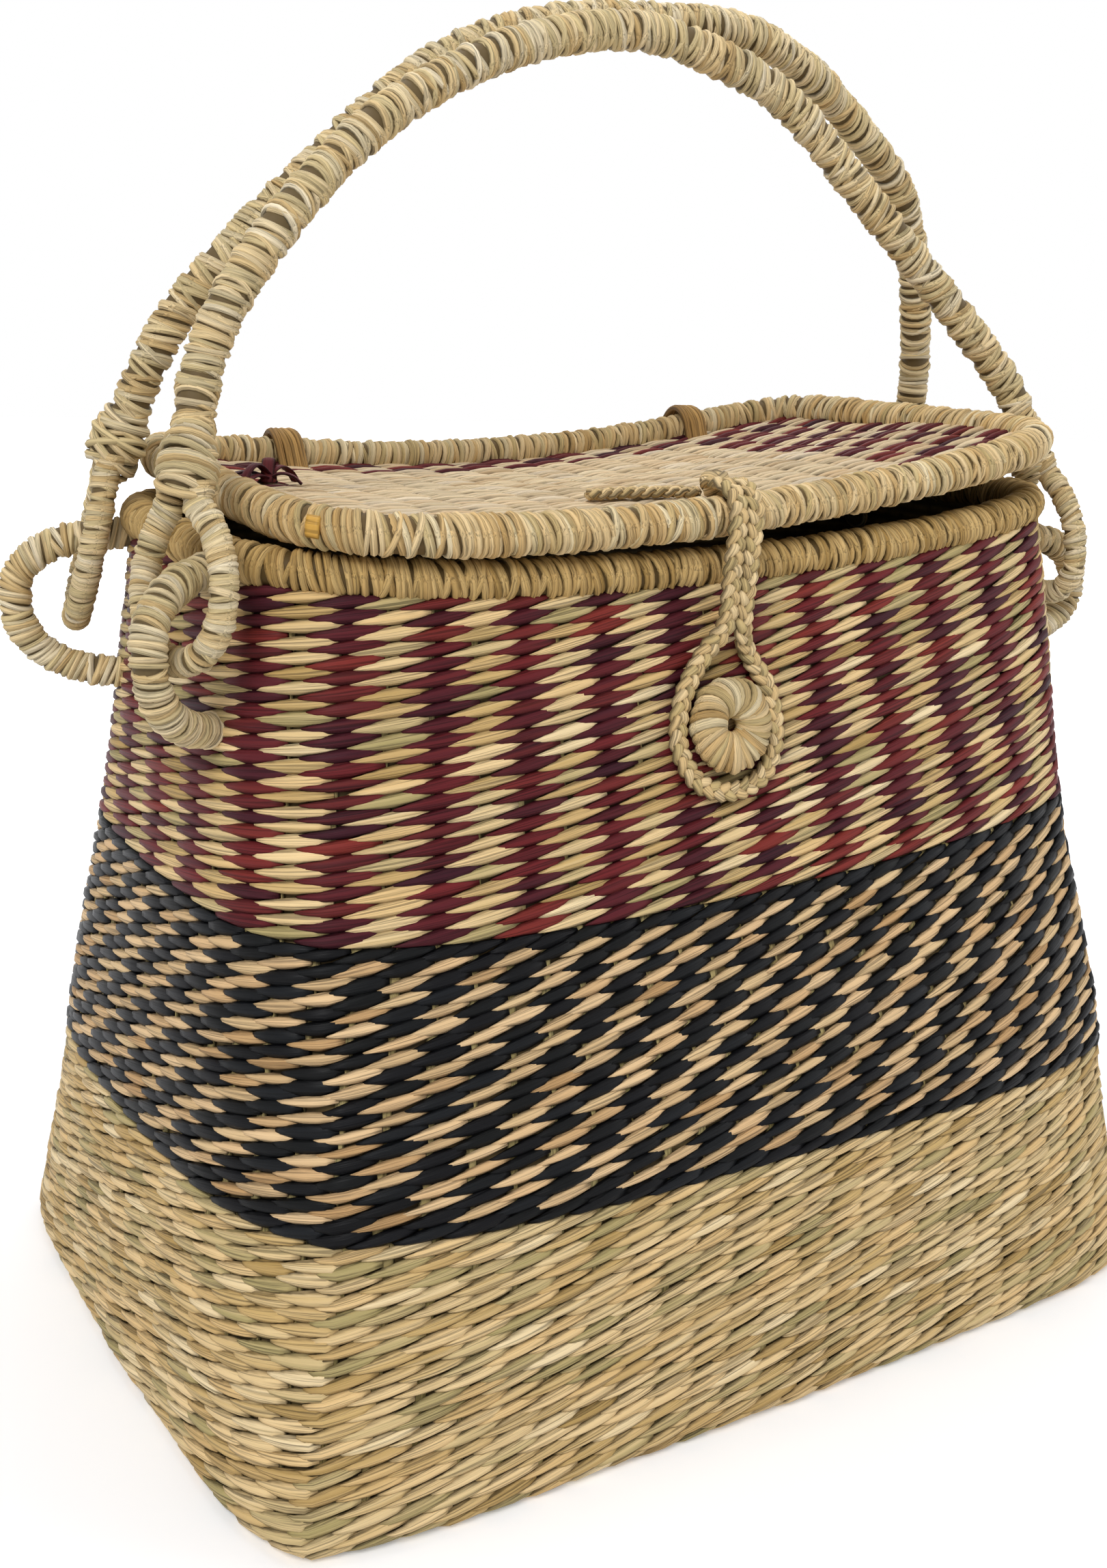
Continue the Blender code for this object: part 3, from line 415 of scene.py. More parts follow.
# painted shade: the body's roll, which lies under the lid's roll, is drawn in a darker, browner copy of the wound
# straw
shaded_rim_straw = straw_finish("shaded_browner_wound_straw",
                         ["#a8864a", "#caa668", "#dcba7c", "#c09e60", "#d6b476"], 0.6, 0.62, edge=0.92)
stake_straw = straw_finish("ribbed_stake_reed", ["#8f8250", "#a89664", "#b8a872"], 0.6, 0.65, 0.7)
print("straw finishes:", [material.name for material in bpy.data.materials if "straw" in material.name])

# %% [markdown]
# ## One tree that weaves
# Twining passes two wefts round each upright stake, and what shows outside is one leaf-shaped
# stitch for each stake, low at its left tip and high at its right one. The tree takes a point
# for each stitch, puts a leaf on it in the flat drawing, and lays every corner of the leaf on the
# skin. Its length, height and slant are named inputs, with small random changes from one seed.

# %% Build the weaving tree
def socket_id(tree, name):
    return next(item.identifier for item in tree.interface.items_tree
                if item.item_type == "SOCKET" and item.in_out == "INPUT" and item.name == name)


def add_input(tree, kind, name, value=None):
    item = tree.interface.new_socket(name, in_out="INPUT", socket_type=kind)
    if value is not None:
        item.default_value = value


def new_tree(name, sizes):
    """An empty geometry tree with a geometry input, the named sizes and a geometry output."""
    tree = bpy.data.node_groups.new(name, "GeometryNodeTree")
    add_input(tree, "NodeSocketGeometry", "Geometry")
    for socket, value in sizes.items():
        add_input(tree, "NodeSocketFloat", socket, value)
    add_input(tree, "NodeSocketInt", "Seed", 1)
    tree.interface.new_socket("Geometry", in_out="OUTPUT", socket_type="NodeSocketGeometry")
    return tree, tree.nodes.new("NodeGroupInput").outputs


weave_tree, given = new_tree("twined_rows", {
    "Flat Width": 1.0, "Flat Height": 0.1, "Stitch Length": 0.0262, "Stitch Height": 0.0050,
    "Stitch Depth": 0.0033, "Slant": 0.170, "Lift": -0.0002, "Dyed Growth": 1.0})
add_input(weave_tree, "NodeSocketBool", "Closed Ring", True)
add_input(weave_tree, "NodeSocketObject", "Skin")
for name in ("Plain Straw", "Dyed Straw"):
    add_input(weave_tree, "NodeSocketMaterial", name)
t = weave_tree
# the left tip lies on its neighbour, and the right end dives behind the next stake
bow = add_node(t, "GeometryNodeCurveQuadraticBezier", {
    "Resolution": 8, "Start": (-0.5, 0, -0.24), "Middle": (0, 0, 0.66), "End": (0.5, 0, -0.90)})
place_on = add_node(t, "GeometryNodeSplineParameter")
late = add_node(t, "ShaderNodeMath", {0: place_on.outputs["Factor"], 1: 1.12}, operation="POWER")
half_turn = add_node(t, "ShaderNodeMath", {0: late.outputs[0], 1: math.pi}, operation="MULTIPLY")
swell = add_node(t, "ShaderNodeMath", {0: half_turn.outputs[0]}, operation="SINE")
leaf = add_node(t, "ShaderNodeMath", {0: swell.outputs[0], 1: 0.95}, operation="POWER")
blunt = add_node(t, "ShaderNodeMath", {0: leaf.outputs[0], 1: 0.07}, operation="MAXIMUM")
half_leaf = add_node(t, "ShaderNodeMath", {0: blunt.outputs[0], 1: 0.5}, operation="MULTIPLY")
run = add_node(t, "ShaderNodeMath", {0: place_on.outputs["Factor"], 1: 28.0}, operation="MULTIPLY")
spine = add_node(t, "GeometryNodeStoreNamedAttribute", {
    "Geometry": bow.outputs[0], "Name": "along", "Value": run.outputs[0]}, domain="POINT")
section = add_node(t, "GeometryNodeCurvePrimitiveCircle", {"Resolution": 6, "Radius": 1.0})
girth_mm = add_node(t, "ShaderNodeMath", {0: place_on.outputs["Factor"], 1: 13.0}, operation="MULTIPLY")
skin_round = add_node(t, "GeometryNodeStoreNamedAttribute", {
    "Geometry": section.outputs[0], "Name": "across", "Value": girth_mm.outputs[0]}, domain="POINT")
leaf_mesh = add_node(t, "GeometryNodeCurveToMesh", {
    "Curve": spine.outputs[0], "Profile Curve": skin_round.outputs[0], "Scale": half_leaf.outputs[0],
    "Fill Caps": True})

number = add_node(t, "GeometryNodeInputIndex")
chance = add_node(t, "FunctionNodeRandomValue", {2: 0.0, 3: 1.0, "ID": number.outputs[0],
                                                 "Seed": given["Seed"]}, data_type="FLOAT")
tinted = add_node(t, "GeometryNodeStoreNamedAttribute", {
    "Geometry": given["Geometry"], "Name": "tint", "Value": chance.outputs[1]}, domain="POINT")
other_seed = add_node(t, "ShaderNodeMath", {0: given["Seed"], 1: 7}, operation="ADD")
shake = add_node(t, "FunctionNodeRandomValue", {
    0: (-0.0011, -0.00035, -0.00015), 1: (0.0011, 0.00035, 0.00025), "Seed": other_seed.outputs[0]},
    data_type="FLOAT_VECTOR")
shaken = add_node(t, "GeometryNodeSetPosition", {"Geometry": tinted.outputs[0], "Offset": shake.outputs[0]})
stretch_seed = add_node(t, "ShaderNodeMath", {0: given["Seed"], 1: 19}, operation="ADD")
stretch = add_node(t, "FunctionNodeRandomValue", {
    0: (0.92, 0.80, 0.82), 1: (1.08, 1.12, 1.18), "Seed": stretch_seed.outputs[0]}, data_type="FLOAT_VECTOR")
size = add_node(t, "ShaderNodeCombineXYZ", {"X": given["Stitch Length"], "Y": given["Stitch Height"],
                                            "Z": given["Stitch Depth"]})
varied = add_node(t, "ShaderNodeVectorMath", {0: size.outputs[0], 1: stretch.outputs[0]},
                  operation="MULTIPLY")
# the dye makes a straw swell, and what it gains its plain neighbour loses
dye_here = add_node(t, "GeometryNodeInputNamedAttribute", {"Name": "dye"}, data_type="BOOLEAN")
plain_growth = add_node(t, "ShaderNodeMath", {0: 2.0, 1: given["Dyed Growth"]}, operation="SUBTRACT")
growth = add_node(t, "GeometryNodeSwitch", {"Switch": dye_here.outputs[0], "False": plain_growth.outputs[0],
                                            "True": given["Dyed Growth"]}, input_type="FLOAT")
grown = add_node(t, "ShaderNodeCombineXYZ", {"X": 1.0, "Y": growth.outputs[0], "Z": growth.outputs[0]})
scaled = add_node(t, "ShaderNodeVectorMath", {0: varied.outputs[0], 1: grown.outputs[0]},
                  operation="MULTIPLY")
lean_seed = add_node(t, "ShaderNodeMath", {0: given["Seed"], 1: 31}, operation="ADD")
lean = add_node(t, "FunctionNodeRandomValue", {2: -0.02, 3: 0.02, "Seed": lean_seed.outputs[0]},
                data_type="FLOAT")
slant = add_node(t, "ShaderNodeMath", {0: given["Slant"], 1: lean.outputs[1]}, operation="ADD")
turned = add_node(t, "ShaderNodeCombineXYZ", {"Z": slant.outputs[0]})
rotation = add_node(t, "FunctionNodeEulerToRotation", {0: turned.outputs[0]})
laid = add_node(t, "GeometryNodeInstanceOnPoints", {
    "Points": shaken.outputs[0], "Instance": leaf_mesh.outputs[0], "Rotation": rotation.outputs[0],
    "Scale": scaled.outputs[0]})
real = add_node(t, "GeometryNodeRealizeInstances", {0: laid.outputs[0]})
facing = add_node(t, "GeometryNodeInputNormal")
facing_parts = add_node(t, "ShaderNodeSeparateXYZ", {0: facing.outputs[0]})
# painted shade: the crown, which darkens the colour, is how far a stitch faces out, and it fades towards both ends,
# which lie in the shade of their neighbours
place_along = add_node(t, "GeometryNodeInputNamedAttribute", {"Name": "along"}, data_type="FLOAT")
dive = add_node(t, "ShaderNodeMapRange", {"Value": place_along.outputs[0], "From Min": 20.0, "From Max": 27.0,
                                          "To Min": 1.0, "To Max": 0.10})
emerge = add_node(t, "ShaderNodeMapRange", {"Value": place_along.outputs[0], "From Min": 0.0, "From Max": 4.0,
                                            "To Min": 0.35, "To Max": 1.0})
lit_share = add_node(t, "ShaderNodeMath", {0: dive.outputs[0], 1: emerge.outputs[0]}, operation="MULTIPLY")
crown_here = add_node(t, "ShaderNodeMath", {0: facing_parts.outputs[2], 1: lit_share.outputs[0]},
                      operation="MULTIPLY")
crowned = add_node(t, "GeometryNodeStoreNamedAttribute", {
    "Geometry": real.outputs[0], "Name": "crown", "Value": crown_here.outputs[0]}, domain="POINT")

flat_place = add_node(t, "GeometryNodeInputPosition")
parts = add_node(t, "ShaderNodeSeparateXYZ", {0: flat_place.outputs[0]})
u_share = add_node(t, "ShaderNodeMath", {0: parts.outputs[0], 1: given["Flat Width"]}, operation="DIVIDE")
u_round = add_node(t, "ShaderNodeMath", {0: u_share.outputs[0]}, operation="FRACT")
u_kept = add_node(t, "ShaderNodeClamp", {"Value": u_share.outputs[0], "Min": 0.0005, "Max": 0.9995})
u_place = add_node(t, "GeometryNodeSwitch", {"Switch": given["Closed Ring"], "False": u_kept.outputs[0],
                                             "True": u_round.outputs[0]}, input_type="FLOAT")
v_share = add_node(t, "ShaderNodeMath", {0: parts.outputs[1], 1: given["Flat Height"]}, operation="DIVIDE")
v_kept = add_node(t, "ShaderNodeClamp", {"Value": v_share.outputs[0], "Min": 0.0005, "Max": 0.9995})
where = add_node(t, "ShaderNodeCombineXYZ", {"X": u_place.outputs[0], "Y": v_kept.outputs[0]})
skin = add_node(t, "GeometryNodeObjectInfo", {"Object": given["Skin"]})
flat_map = add_node(t, "GeometryNodeInputNamedAttribute", {"Name": "flat"}, data_type="FLOAT_VECTOR")
skin_place = add_node(t, "GeometryNodeInputPosition")
skin_out = add_node(t, "GeometryNodeInputNamedAttribute", {"Name": "out"}, data_type="FLOAT_VECTOR")
samples = [add_node(t, "GeometryNodeSampleUVSurface", {
    "Mesh": skin.outputs["Geometry"], "Value": value.outputs[0], "UV Map": flat_map.outputs[0],
    "Sample UV": where.outputs[0]}, data_type="FLOAT_VECTOR") for value in (skin_place, skin_out)]
depth = add_node(t, "ShaderNodeMath", {0: parts.outputs[2], 1: given["Lift"]}, operation="ADD")
proud = add_node(t, "ShaderNodeVectorMath", {0: samples[1].outputs[0], "Scale": depth.outputs[0]},
                 operation="SCALE")
on_skin = add_node(t, "ShaderNodeVectorMath", {0: samples[0].outputs[0], 1: proud.outputs[0]},
                   operation="ADD")
woven = add_node(t, "GeometryNodeSetPosition", {"Geometry": crowned.outputs[0],
                                                "Position": on_skin.outputs[0]})

along = add_node(t, "GeometryNodeInputNamedAttribute", {"Name": "along"}, data_type="FLOAT")
across = add_node(t, "GeometryNodeInputNamedAttribute", {"Name": "across"}, data_type="FLOAT")
own_tint = add_node(t, "GeometryNodeInputNamedAttribute", {"Name": "tint"}, data_type="FLOAT")
own_place = add_node(t, "ShaderNodeMath", {0: own_tint.outputs[0], 1: 997.0}, operation="MULTIPLY")
fibre = add_node(t, "ShaderNodeCombineXYZ", {"X": along.outputs[0], "Y": across.outputs[0],
                                             "Z": own_place.outputs[0]})
marked = add_node(t, "GeometryNodeStoreNamedAttribute", {
    "Geometry": woven.outputs[0], "Name": "fibre", "Value": fibre.outputs[0]},
    data_type="FLOAT_VECTOR", domain="POINT")
plain = add_node(t, "GeometryNodeSetMaterial", {"Geometry": marked.outputs[0],
                                                "Material": given["Plain Straw"]})
dye = add_node(t, "GeometryNodeInputNamedAttribute", {"Name": "dye"}, data_type="BOOLEAN")
dyed = add_node(t, "GeometryNodeSetMaterial", {"Geometry": plain.outputs[0], "Selection": dye.outputs[0],
                                               "Material": given["Dyed Straw"]})
add_node(t, "NodeGroupOutput", {0: dyed.outputs[0]})
print("weaving tree:", len(t.nodes), "nodes")

# %% [markdown]
# ## Weave the three bands
# There is a stake about every 17 mm and a row about every 4.8 mm; stakes are dropped as the wall
# narrows, so that they stay as far apart. The lowest band is plain. In the black band
# the dyed stitch moves on by one stake every second row, which gives the slanting lights, and its
# first and last rows are all black. In the maroon band it stays put, which gives upright stripes.

# %% Lay the stitches
STAKES = {"natural": 84, "black": 82, "maroon": 64}
STITCH_PHASE = 0.15


def natural_pattern(row, column, rows):
    return False


def black_pattern(row, column, rows):
    return row in (0, rows - 1) or (column + row // 2) % 2 == 0


def maroon_pattern(row, column, rows):
    return column % 2 == 0


def settle(worker, name):
    """The evaluated result of an object as a plain mesh piece; the worker is removed."""
    scene.collection.objects.link(worker)
    bpy.context.view_layer.update()
    mesh = bpy.data.meshes.new_from_object(worker.evaluated_get(bpy.context.evaluated_depsgraph_get()))
    bpy.data.objects.remove(worker, do_unlink=True)
    mesh.name = name
    mesh.shade_smooth()
    piece = bpy.data.objects.new(name, mesh)
    scene.collection.objects.link(piece)
    return piece


def triangles(piece):
    return sum(len(face.vertices) - 2 for face in piece.data.polygons)


def weave(name, skin_object, stitches, width, height, plain_straw, dyed_straw, seed, **sizes):
    """Lays one stitch at each (x, y, dyed) of the flat drawing and gives back the woven piece."""
    mesh = bpy.data.meshes.new(name + "_drawing")
    mesh.from_pydata([(x, y, 0) for x, y, _ in stitches], [], [])
    dye_mark = mesh.attributes.new("dye", "BOOLEAN", "POINT")
    dye_mark.data.foreach_set("value", [dyed for _, _, dyed in stitches])
    worker = bpy.data.objects.new(name + "_drawing", mesh)
    modifier = worker.modifiers.new("twined_rows", "NODES")
    modifier.node_group = weave_tree
    scene.collection.objects.link(skin_object)
    values = {"Flat Width": width, "Flat Height": height, "Skin": skin_object, "Seed": seed,
              "Plain Straw": plain_straw, "Dyed Straw": dyed_straw,
              **{key.replace("_", " ").title(): value for key, value in sizes.items()}}
    for key, value in values.items():
        modifier[socket_id(weave_tree, key)] = value
    piece = settle(worker, name)
    bpy.data.objects.remove(skin_object, do_unlink=True)
    return piece


def dress(piece, body, slot, *nodes):
    """A finished piece: it rides on its body and stands for its solids; slot is not used."""
    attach(piece, body)
    if nodes:
        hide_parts(*nodes)
    print(piece.name, "rides on", body, "with", triangles(piece), "triangles")


def ring_length(height):
    ring = [wall_point(height, 2 * math.pi * step / ARC_TRIES) for step in range(ARC_TRIES)]
    return sum((after - before).length for before, after in zip(ring, ring[1:] + ring[:1]))


# pattern, finishes, how much the dyed stitches swell, and a stitch's length, height and slant
band_rules = {"natural": (natural_pattern, woven_straw, woven_straw, 1.0, 0.0220, 0.0055, 0.180),
              "black": (black_pattern, peach_straw, black_straw, 1.12, 0.0198, 0.0052, 0.200),
              "maroon": (maroon_pattern, woven_straw, maroon_straw, 1.04, 0.0252, 0.0051, 0.165)}
for seed, (band, (bottom, top, rows)) in enumerate(BANDS.items(), 1):
    pattern, plain_finish, dyed_finish, growth, length, stitch_tall, slant = band_rules[band]
    tall, around_band = (top - bottom) / rows, ring_length((bottom + top) / 2)
    pitch = around_band / STAKES[band]
    print(band, "stakes are", round(1000 * pitch, 1), "mm apart and rows", round(1000 * tall, 1), "mm")
    stitches = [((column + STITCH_PHASE) * pitch, (row + 0.5) * tall, pattern(row, column, rows))
                for row in range(rows) for column in range(STAKES[band])]
    piece = weave(band + "_band_weave", skins[band], stitches, around_band, top - bottom,
                  plain_finish, dyed_finish, seed, dyed_growth=growth, stitch_length=length,
                  stitch_height=stitch_tall, slant=slant)
    dress(piece, "basket", band + "_straw", band + "_wall_band")

# %% [markdown]
# ## Stakes and the inside of the wall
# Between the stitches a little of each upright stake shows: a flat bundle of ribbed reed, greener
# than the weft. Behind them the wall is closed by the inner side of the same weave, which nobody
# sees up close, so a shell with the wall's thickness and a drawn weave stands for it.

# %% Add the stakes
def join_meshes(name, parts, finish):
    """Several (points, faces, fibre, crown, tint) parts as one piece."""
    points, faces, fibres, crowns, tints = [], [], [], [], []
    for part_points, part_faces, part_fibres, part_crowns, tint in parts:
        start = len(points)
        points += part_points
        faces += [tuple(start + corner for corner in face) for face in part_faces]
        fibres += part_fibres
        crowns += part_crowns
        tints += [tint] * len(part_points)
    mesh = bpy.data.meshes.new(name)
    mesh.from_pydata(points, [], faces)
    mark = mesh.attributes.new("fibre", "FLOAT_VECTOR", "POINT")
    mark.data.foreach_set("vector", [value for fibre_place in fibres for value in fibre_place])
    for mark_name, values in (("tint", tints), ("crown", crowns)):
        mesh.attributes.new(mark_name, "FLOAT", "POINT").data.foreach_set("value", values)
    mesh.materials.append(finish)
    mesh.shade_smooth()
    piece = bpy.data.objects.new(name, mesh)
    scene.collection.objects.link(piece)
    return piece


def strand(points, sides_of, half_wide, half_deep, tint, sides=8):
    """A flattened strand along points; sides_of(index) gives its sideways direction there."""
    rings, fibres, crowns, run_mm = [], [], [], 0.0
    for index, point in enumerate(points):
        before, after = points[max(index - 1, 0)], points[min(index + 1, len(points) - 1)]
        along_strand = (after - before).normalized()
        wide = sides_of(index)
        wide = (wide - along_strand * wide.dot(along_strand)).normalized()
        deep = along_strand.cross(wide)
        if index:
            run_mm += 1000 * (point - points[index - 1]).length
        for step in range(sides):
            turn = 2 * math.pi * step / sides
            rings.append(point + wide * (half_wide * math.cos(turn)) + deep * (half_deep * math.sin(turn)))
            fibres.append((run_mm, 2000 * math.pi * (half_wide + half_deep) / 2 * step / sides, 997 * tint))
            # painted shade: the crown darkens the strand's edges, where it turns in beside its neighbours
            crowns.append(abs(math.sin(turn)))
    count = len(points)
    faces = [(j * sides + i, j * sides + (i + 1) % sides, (j + 1) * sides + (i + 1) % sides,
              (j + 1) * sides + i) for j in range(count - 1) for i in range(sides)]
    faces += [tuple(reversed(range(sides))), tuple(range((count - 1) * sides, count * sides))]
    return rings, faces, fibres, crowns, tint


STAKE_LEVELS = 9
STAKE_HALF_WIDTH = 0.0022
STAKE_HALF_DEPTH = 0.0009
STAKE_INSET = 0.0017
chooser = random.Random(4)
parts = []
for band, (bottom, top, rows) in BANDS.items():
    stake_columns = [[] for _ in range(STAKES[band])]
    for step in range(STAKE_LEVELS + 1):
        height = max(0.0015, bottom - 0.002) + (top - max(0.0015, bottom - 0.002)) * step / STAKE_LEVELS
        angles = even_ring(lambda turn: wall_point(height, turn), 4 * STAKES[band])
        for column in range(STAKES[band]):
            stake_columns[column].append((wall_point(height, angles[4 * column], STAKE_INSET),
                                          wall_point(height, angles[4 * column + 1], STAKE_INSET)
                                          - wall_point(height, angles[4 * column - 1], STAKE_INSET)))
    parts += [strand([place for place, _ in column], lambda index: column[index][1],
                     STAKE_HALF_WIDTH, STAKE_HALF_DEPTH, chooser.random()) for column in stake_columns]
stakes = join_meshes("upright_stakes", parts, stake_straw)
dress(stakes, "basket", "natural_straw")

# %% Add the inside of the wall
def inner_weave_finish(name, low, high):
    """Rows of stitches drawn by a wave along the height, broken up by a fine noise."""
    material = bpy.data.materials.new(name)
    material.use_nodes = True
    tree = material.node_tree
    shader = tree.nodes["Principled BSDF"]
    place = add_node(tree, "ShaderNodeTexCoord")
    # a row every 4.7 mm: the wave's period in metres is 2 pi over 20 times its scale
    rows = add_node(tree, "ShaderNodeTexWave", {"Vector": place.outputs["Object"], "Scale": 66.8,
                                                "Distortion": 0.6, "Detail": 1.0},
                    wave_type="BANDS", bands_direction="Z")
    grain = add_node(tree, "ShaderNodeTexNoise", {"Vector": place.outputs["Object"], "Scale": 160.0,
                                                  "Detail": 2.0})
    mix = add_node(tree, "ShaderNodeMath", {0: rows.outputs["Fac"], 1: grain.outputs[0]},
                   operation="MULTIPLY")
    colour = add_node(tree, "ShaderNodeMix", {0: mix.outputs[0], 6: linear(low), 7: linear(high)},
                      data_type="RGBA")
    tree.links.new(colour.outputs[2], shader.inputs["Base Color"])
    bump = add_node(tree, "ShaderNodeBump", {"Height": rows.outputs["Fac"], "Strength": 0.6,
                                             "Distance": 0.001})
    tree.links.new(bump.outputs[0], shader.inputs["Normal"])
    shader.inputs["Roughness"].default_value = 0.75
    return material


LINING_INSET = 0.0022
# painted shade: the inside straw is drawn far darker than the weft, so that the gaps between the stitches look
# shaded
lining_finish = inner_weave_finish("shaded_inner_straw", "#4a3a20", "#a58c58")


def ring_shell(name, heights, finish):
    """A closed shell between the stitches and the wall's inner face, through the given heights."""
    rings = []
    for inset, levels in ((LINING_INSET, heights), (WALL_THICKNESS, heights[::-1])):
        for height in levels:
            rings.append([wall_point(height, angle, inset)
                          for angle in even_ring(lambda turn: wall_point(height, turn), 128)[:-1]])
    sides = len(rings[0])
    faces = [(j * sides + i, j * sides + (i + 1) % sides, (j + 1) % len(rings) * sides + (i + 1) % sides,
              (j + 1) % len(rings) * sides + i) for j in range(len(rings)) for i in range(sides)]
    mesh = bpy.data.meshes.new(name)
    mesh.from_pydata([point for ring in rings for point in ring], [], faces)
    mesh.materials.append(finish)
    mesh.shade_smooth()
    piece = bpy.data.objects.new(name, mesh)
    scene.collection.objects.link(piece)
    return piece


lining = ring_shell("wall_inside", [0.004 + (WALL_TOP - 0.004) * step / 30 for step in range(31)],
                    lining_finish)
dress(lining, "basket", "natural_straw")

# %% [markdown]
# ## Lid and base panels
# Both are flat twined panels with rows along the length. The lid is plain in the middle and has a
# maroon and natural chequer along its back, widest at the right end. Its skin follows the sway
# of the lid; stitches that would reach past the roll are drawn in under it.

# %% Weave the lid and the base
def panel_rows(ring, inset, height_of, turn_over=False):
    """Rows of points over a panel, from the front to the back and from left to right."""
    rows = []
    half_wide, half_deep = ring["width"] / 2 - inset, ring["depth"] / 2 - inset
    for j in range(PANEL_LEVELS + 1):
        y_share = 0.999 * (2 * j / PANEL_LEVELS - 1)
        row = []
        for i in range(PANEL_COLUMNS + 1):
            x_share = 2 * i / PANEL_COLUMNS - 1
            power = ring["powers"][0 if x_share < 0 else 1]
            reach = (1 - abs(y_share) ** power) ** (1 / power)
            x = half_wide * max(-reach, min(reach, x_share))
            y = half_deep * y_share
            place = Vector((ring["shift"][0] + x, ring["shift"][1] + y, 0))
            place.z = height_of(x / (ring["width"] / 2), y / (ring["depth"] / 2))
            row.append(place)
        rows.append(row[::-1] if turn_over else row)
    return rows


def panel_mesh(name, rows, out):
    mesh = grid_mesh(name, rows)
    for mark in mesh.attributes["out"].data:
        mark.vector = out
    return bpy.data.objects.new(name, mesh)


PANEL_LEVELS = 60
PANEL_COLUMNS = 120
LID_ROWS = 36
LID_COLUMNS = 19
lid_inset = 0.0040
LID_SAG = 0.0044


def lid_lift(y_share):
    """How far the woven face lies above the middle of the roll: the panel sags towards its back."""
    back = min(1.0, max(0.0, (y_share + 0.35) / 0.75))
    return 0.0012 - LID_SAG * back * back * (3 - 2 * back)


lid_rows = panel_rows(LID, lid_inset, lambda x, y: LID["height"] + sway(LID, x, y) + lid_lift(y))
lid_wide, lid_deep = LID["width"] - 2 * lid_inset, LID["depth"] - 2 * lid_inset


def lid_pattern(row, column):
    border = row >= LID_ROWS - 5 or column >= LID_COLUMNS - 4 or (column <= 1 and row > LID_ROWS // 2)
    return border and (column + row // 2) % 2 == 0


lid_stitches = [((column + 0.5) * lid_wide / LID_COLUMNS, (row + 0.5) * lid_deep / LID_ROWS,
                 lid_pattern(row, column)) for row in range(LID_ROWS) for column in range(LID_COLUMNS)]
lid_weave = weave("lid_panel_weave", panel_mesh("lid_skin", lid_rows, (0, 0, 1)), lid_stitches,
                  lid_wide, lid_deep, panel_straw, maroon_straw, 11, closed_ring=False,
                  stitch_length=0.0236, stitch_height=0.0050, stitch_depth=0.0046, slant=0.17,
                  dyed_growth=1.05)
dress(lid_weave, "lid", "natural_straw", "lid_panel")
print("lid rows are", round(1000 * lid_deep / LID_ROWS, 2), "mm apart")

# %% Weave the base
BASE_ROWS = 58
BASE_COLUMNS = 24
BASE = dict(width=0.420, depth=0.299, height=0.0, shift=(0.0, 0.0), powers=(6.8, 6.8), sway=(0,) * 5)
base_inset = 0.0075
base_rows = panel_rows(BASE, base_inset, lambda x, y: 0.0021, turn_over=True)
base_wide, base_deep = BASE["width"] - 2 * base_inset, BASE["depth"] - 2 * base_inset
base_stitches = [((column + 0.5) * base_wide / BASE_COLUMNS,
                  (row + 0.5) * base_deep / BASE_ROWS, False)
                 for row in range(BASE_ROWS) for column in range(BASE_COLUMNS)]
base_weave = weave("base_panel_weave", panel_mesh("base_skin", base_rows, (0, 0, -1)), base_stitches,
                   base_wide, base_deep, woven_straw, woven_straw, 13, closed_ring=False,
                   stitch_length=0.0240, stitch_height=0.0052, stitch_depth=0.0026, slant=0.16)
dress(base_weave, "basket", "natural_straw", "base_panel")


def panel_backing(name, rows, lift, thickness, finish):
    """A closed sheet through the panel's rows, which the stitches of both faces lie on."""
    tall, wide = len(rows), len(rows[0])
    upper = [point + Vector((0, 0, lift)) for row in rows for point in row]
    lower = [point - Vector((0, 0, thickness)) for point in upper]
    count = len(upper)
    faces = []
    for j in range(tall - 1):
        for i in range(wide - 1):
            a, b, c, d = (j * wide + i, j * wide + i + 1, (j + 1) * wide + i + 1, (j + 1) * wide + i)
            faces += [(a, b, c, d), (count + d, count + c, count + b, count + a)]
    edge = ([(0, i) for i in range(wide - 1)] + [(j, wide - 1) for j in range(tall - 1)]
            + [(tall - 1, i) for i in range(wide - 1, 0, -1)] + [(j, 0) for j in range(tall - 1, 0, -1)])
    for (j, i), (k, l) in zip(edge, edge[1:] + edge[:1]):
        a, b = j * wide + i, k * wide + l
        faces.append((a, count + a, count + b, b))
    mesh = bpy.data.meshes.new(name)
    mesh.from_pydata(upper + lower, [], faces)
    mesh.materials.append(finish)
    piece = bpy.data.objects.new(name, mesh)
    scene.collection.objects.link(piece)
    return piece


dress(panel_backing("lid_panel_inside", lid_rows, -0.0012, 0.0018, lining_finish), "lid", "natural_straw")
base_inside_rows = panel_rows(BASE, base_inset, lambda x, y: 0.0045)
dress(panel_backing("base_panel_inside", base_inside_rows, 0.0, 0.0024, lining_finish), "basket",
      "natural_straw")

# %% [markdown]
# ## One tree that winds
# Rims, handles, ears and eyes are all the same work: a core, and a straw strand wound round it in
# close slanting turns. The tree walks along a path, puts one turn at each step of the winding and
# tips it by a random angle, so that neighbours cross in places as on the real rolls. The turns
# stand closer than they are wide, and the lower ones close the gaps that the upper ones leave. The path carries its own radius as "girth".

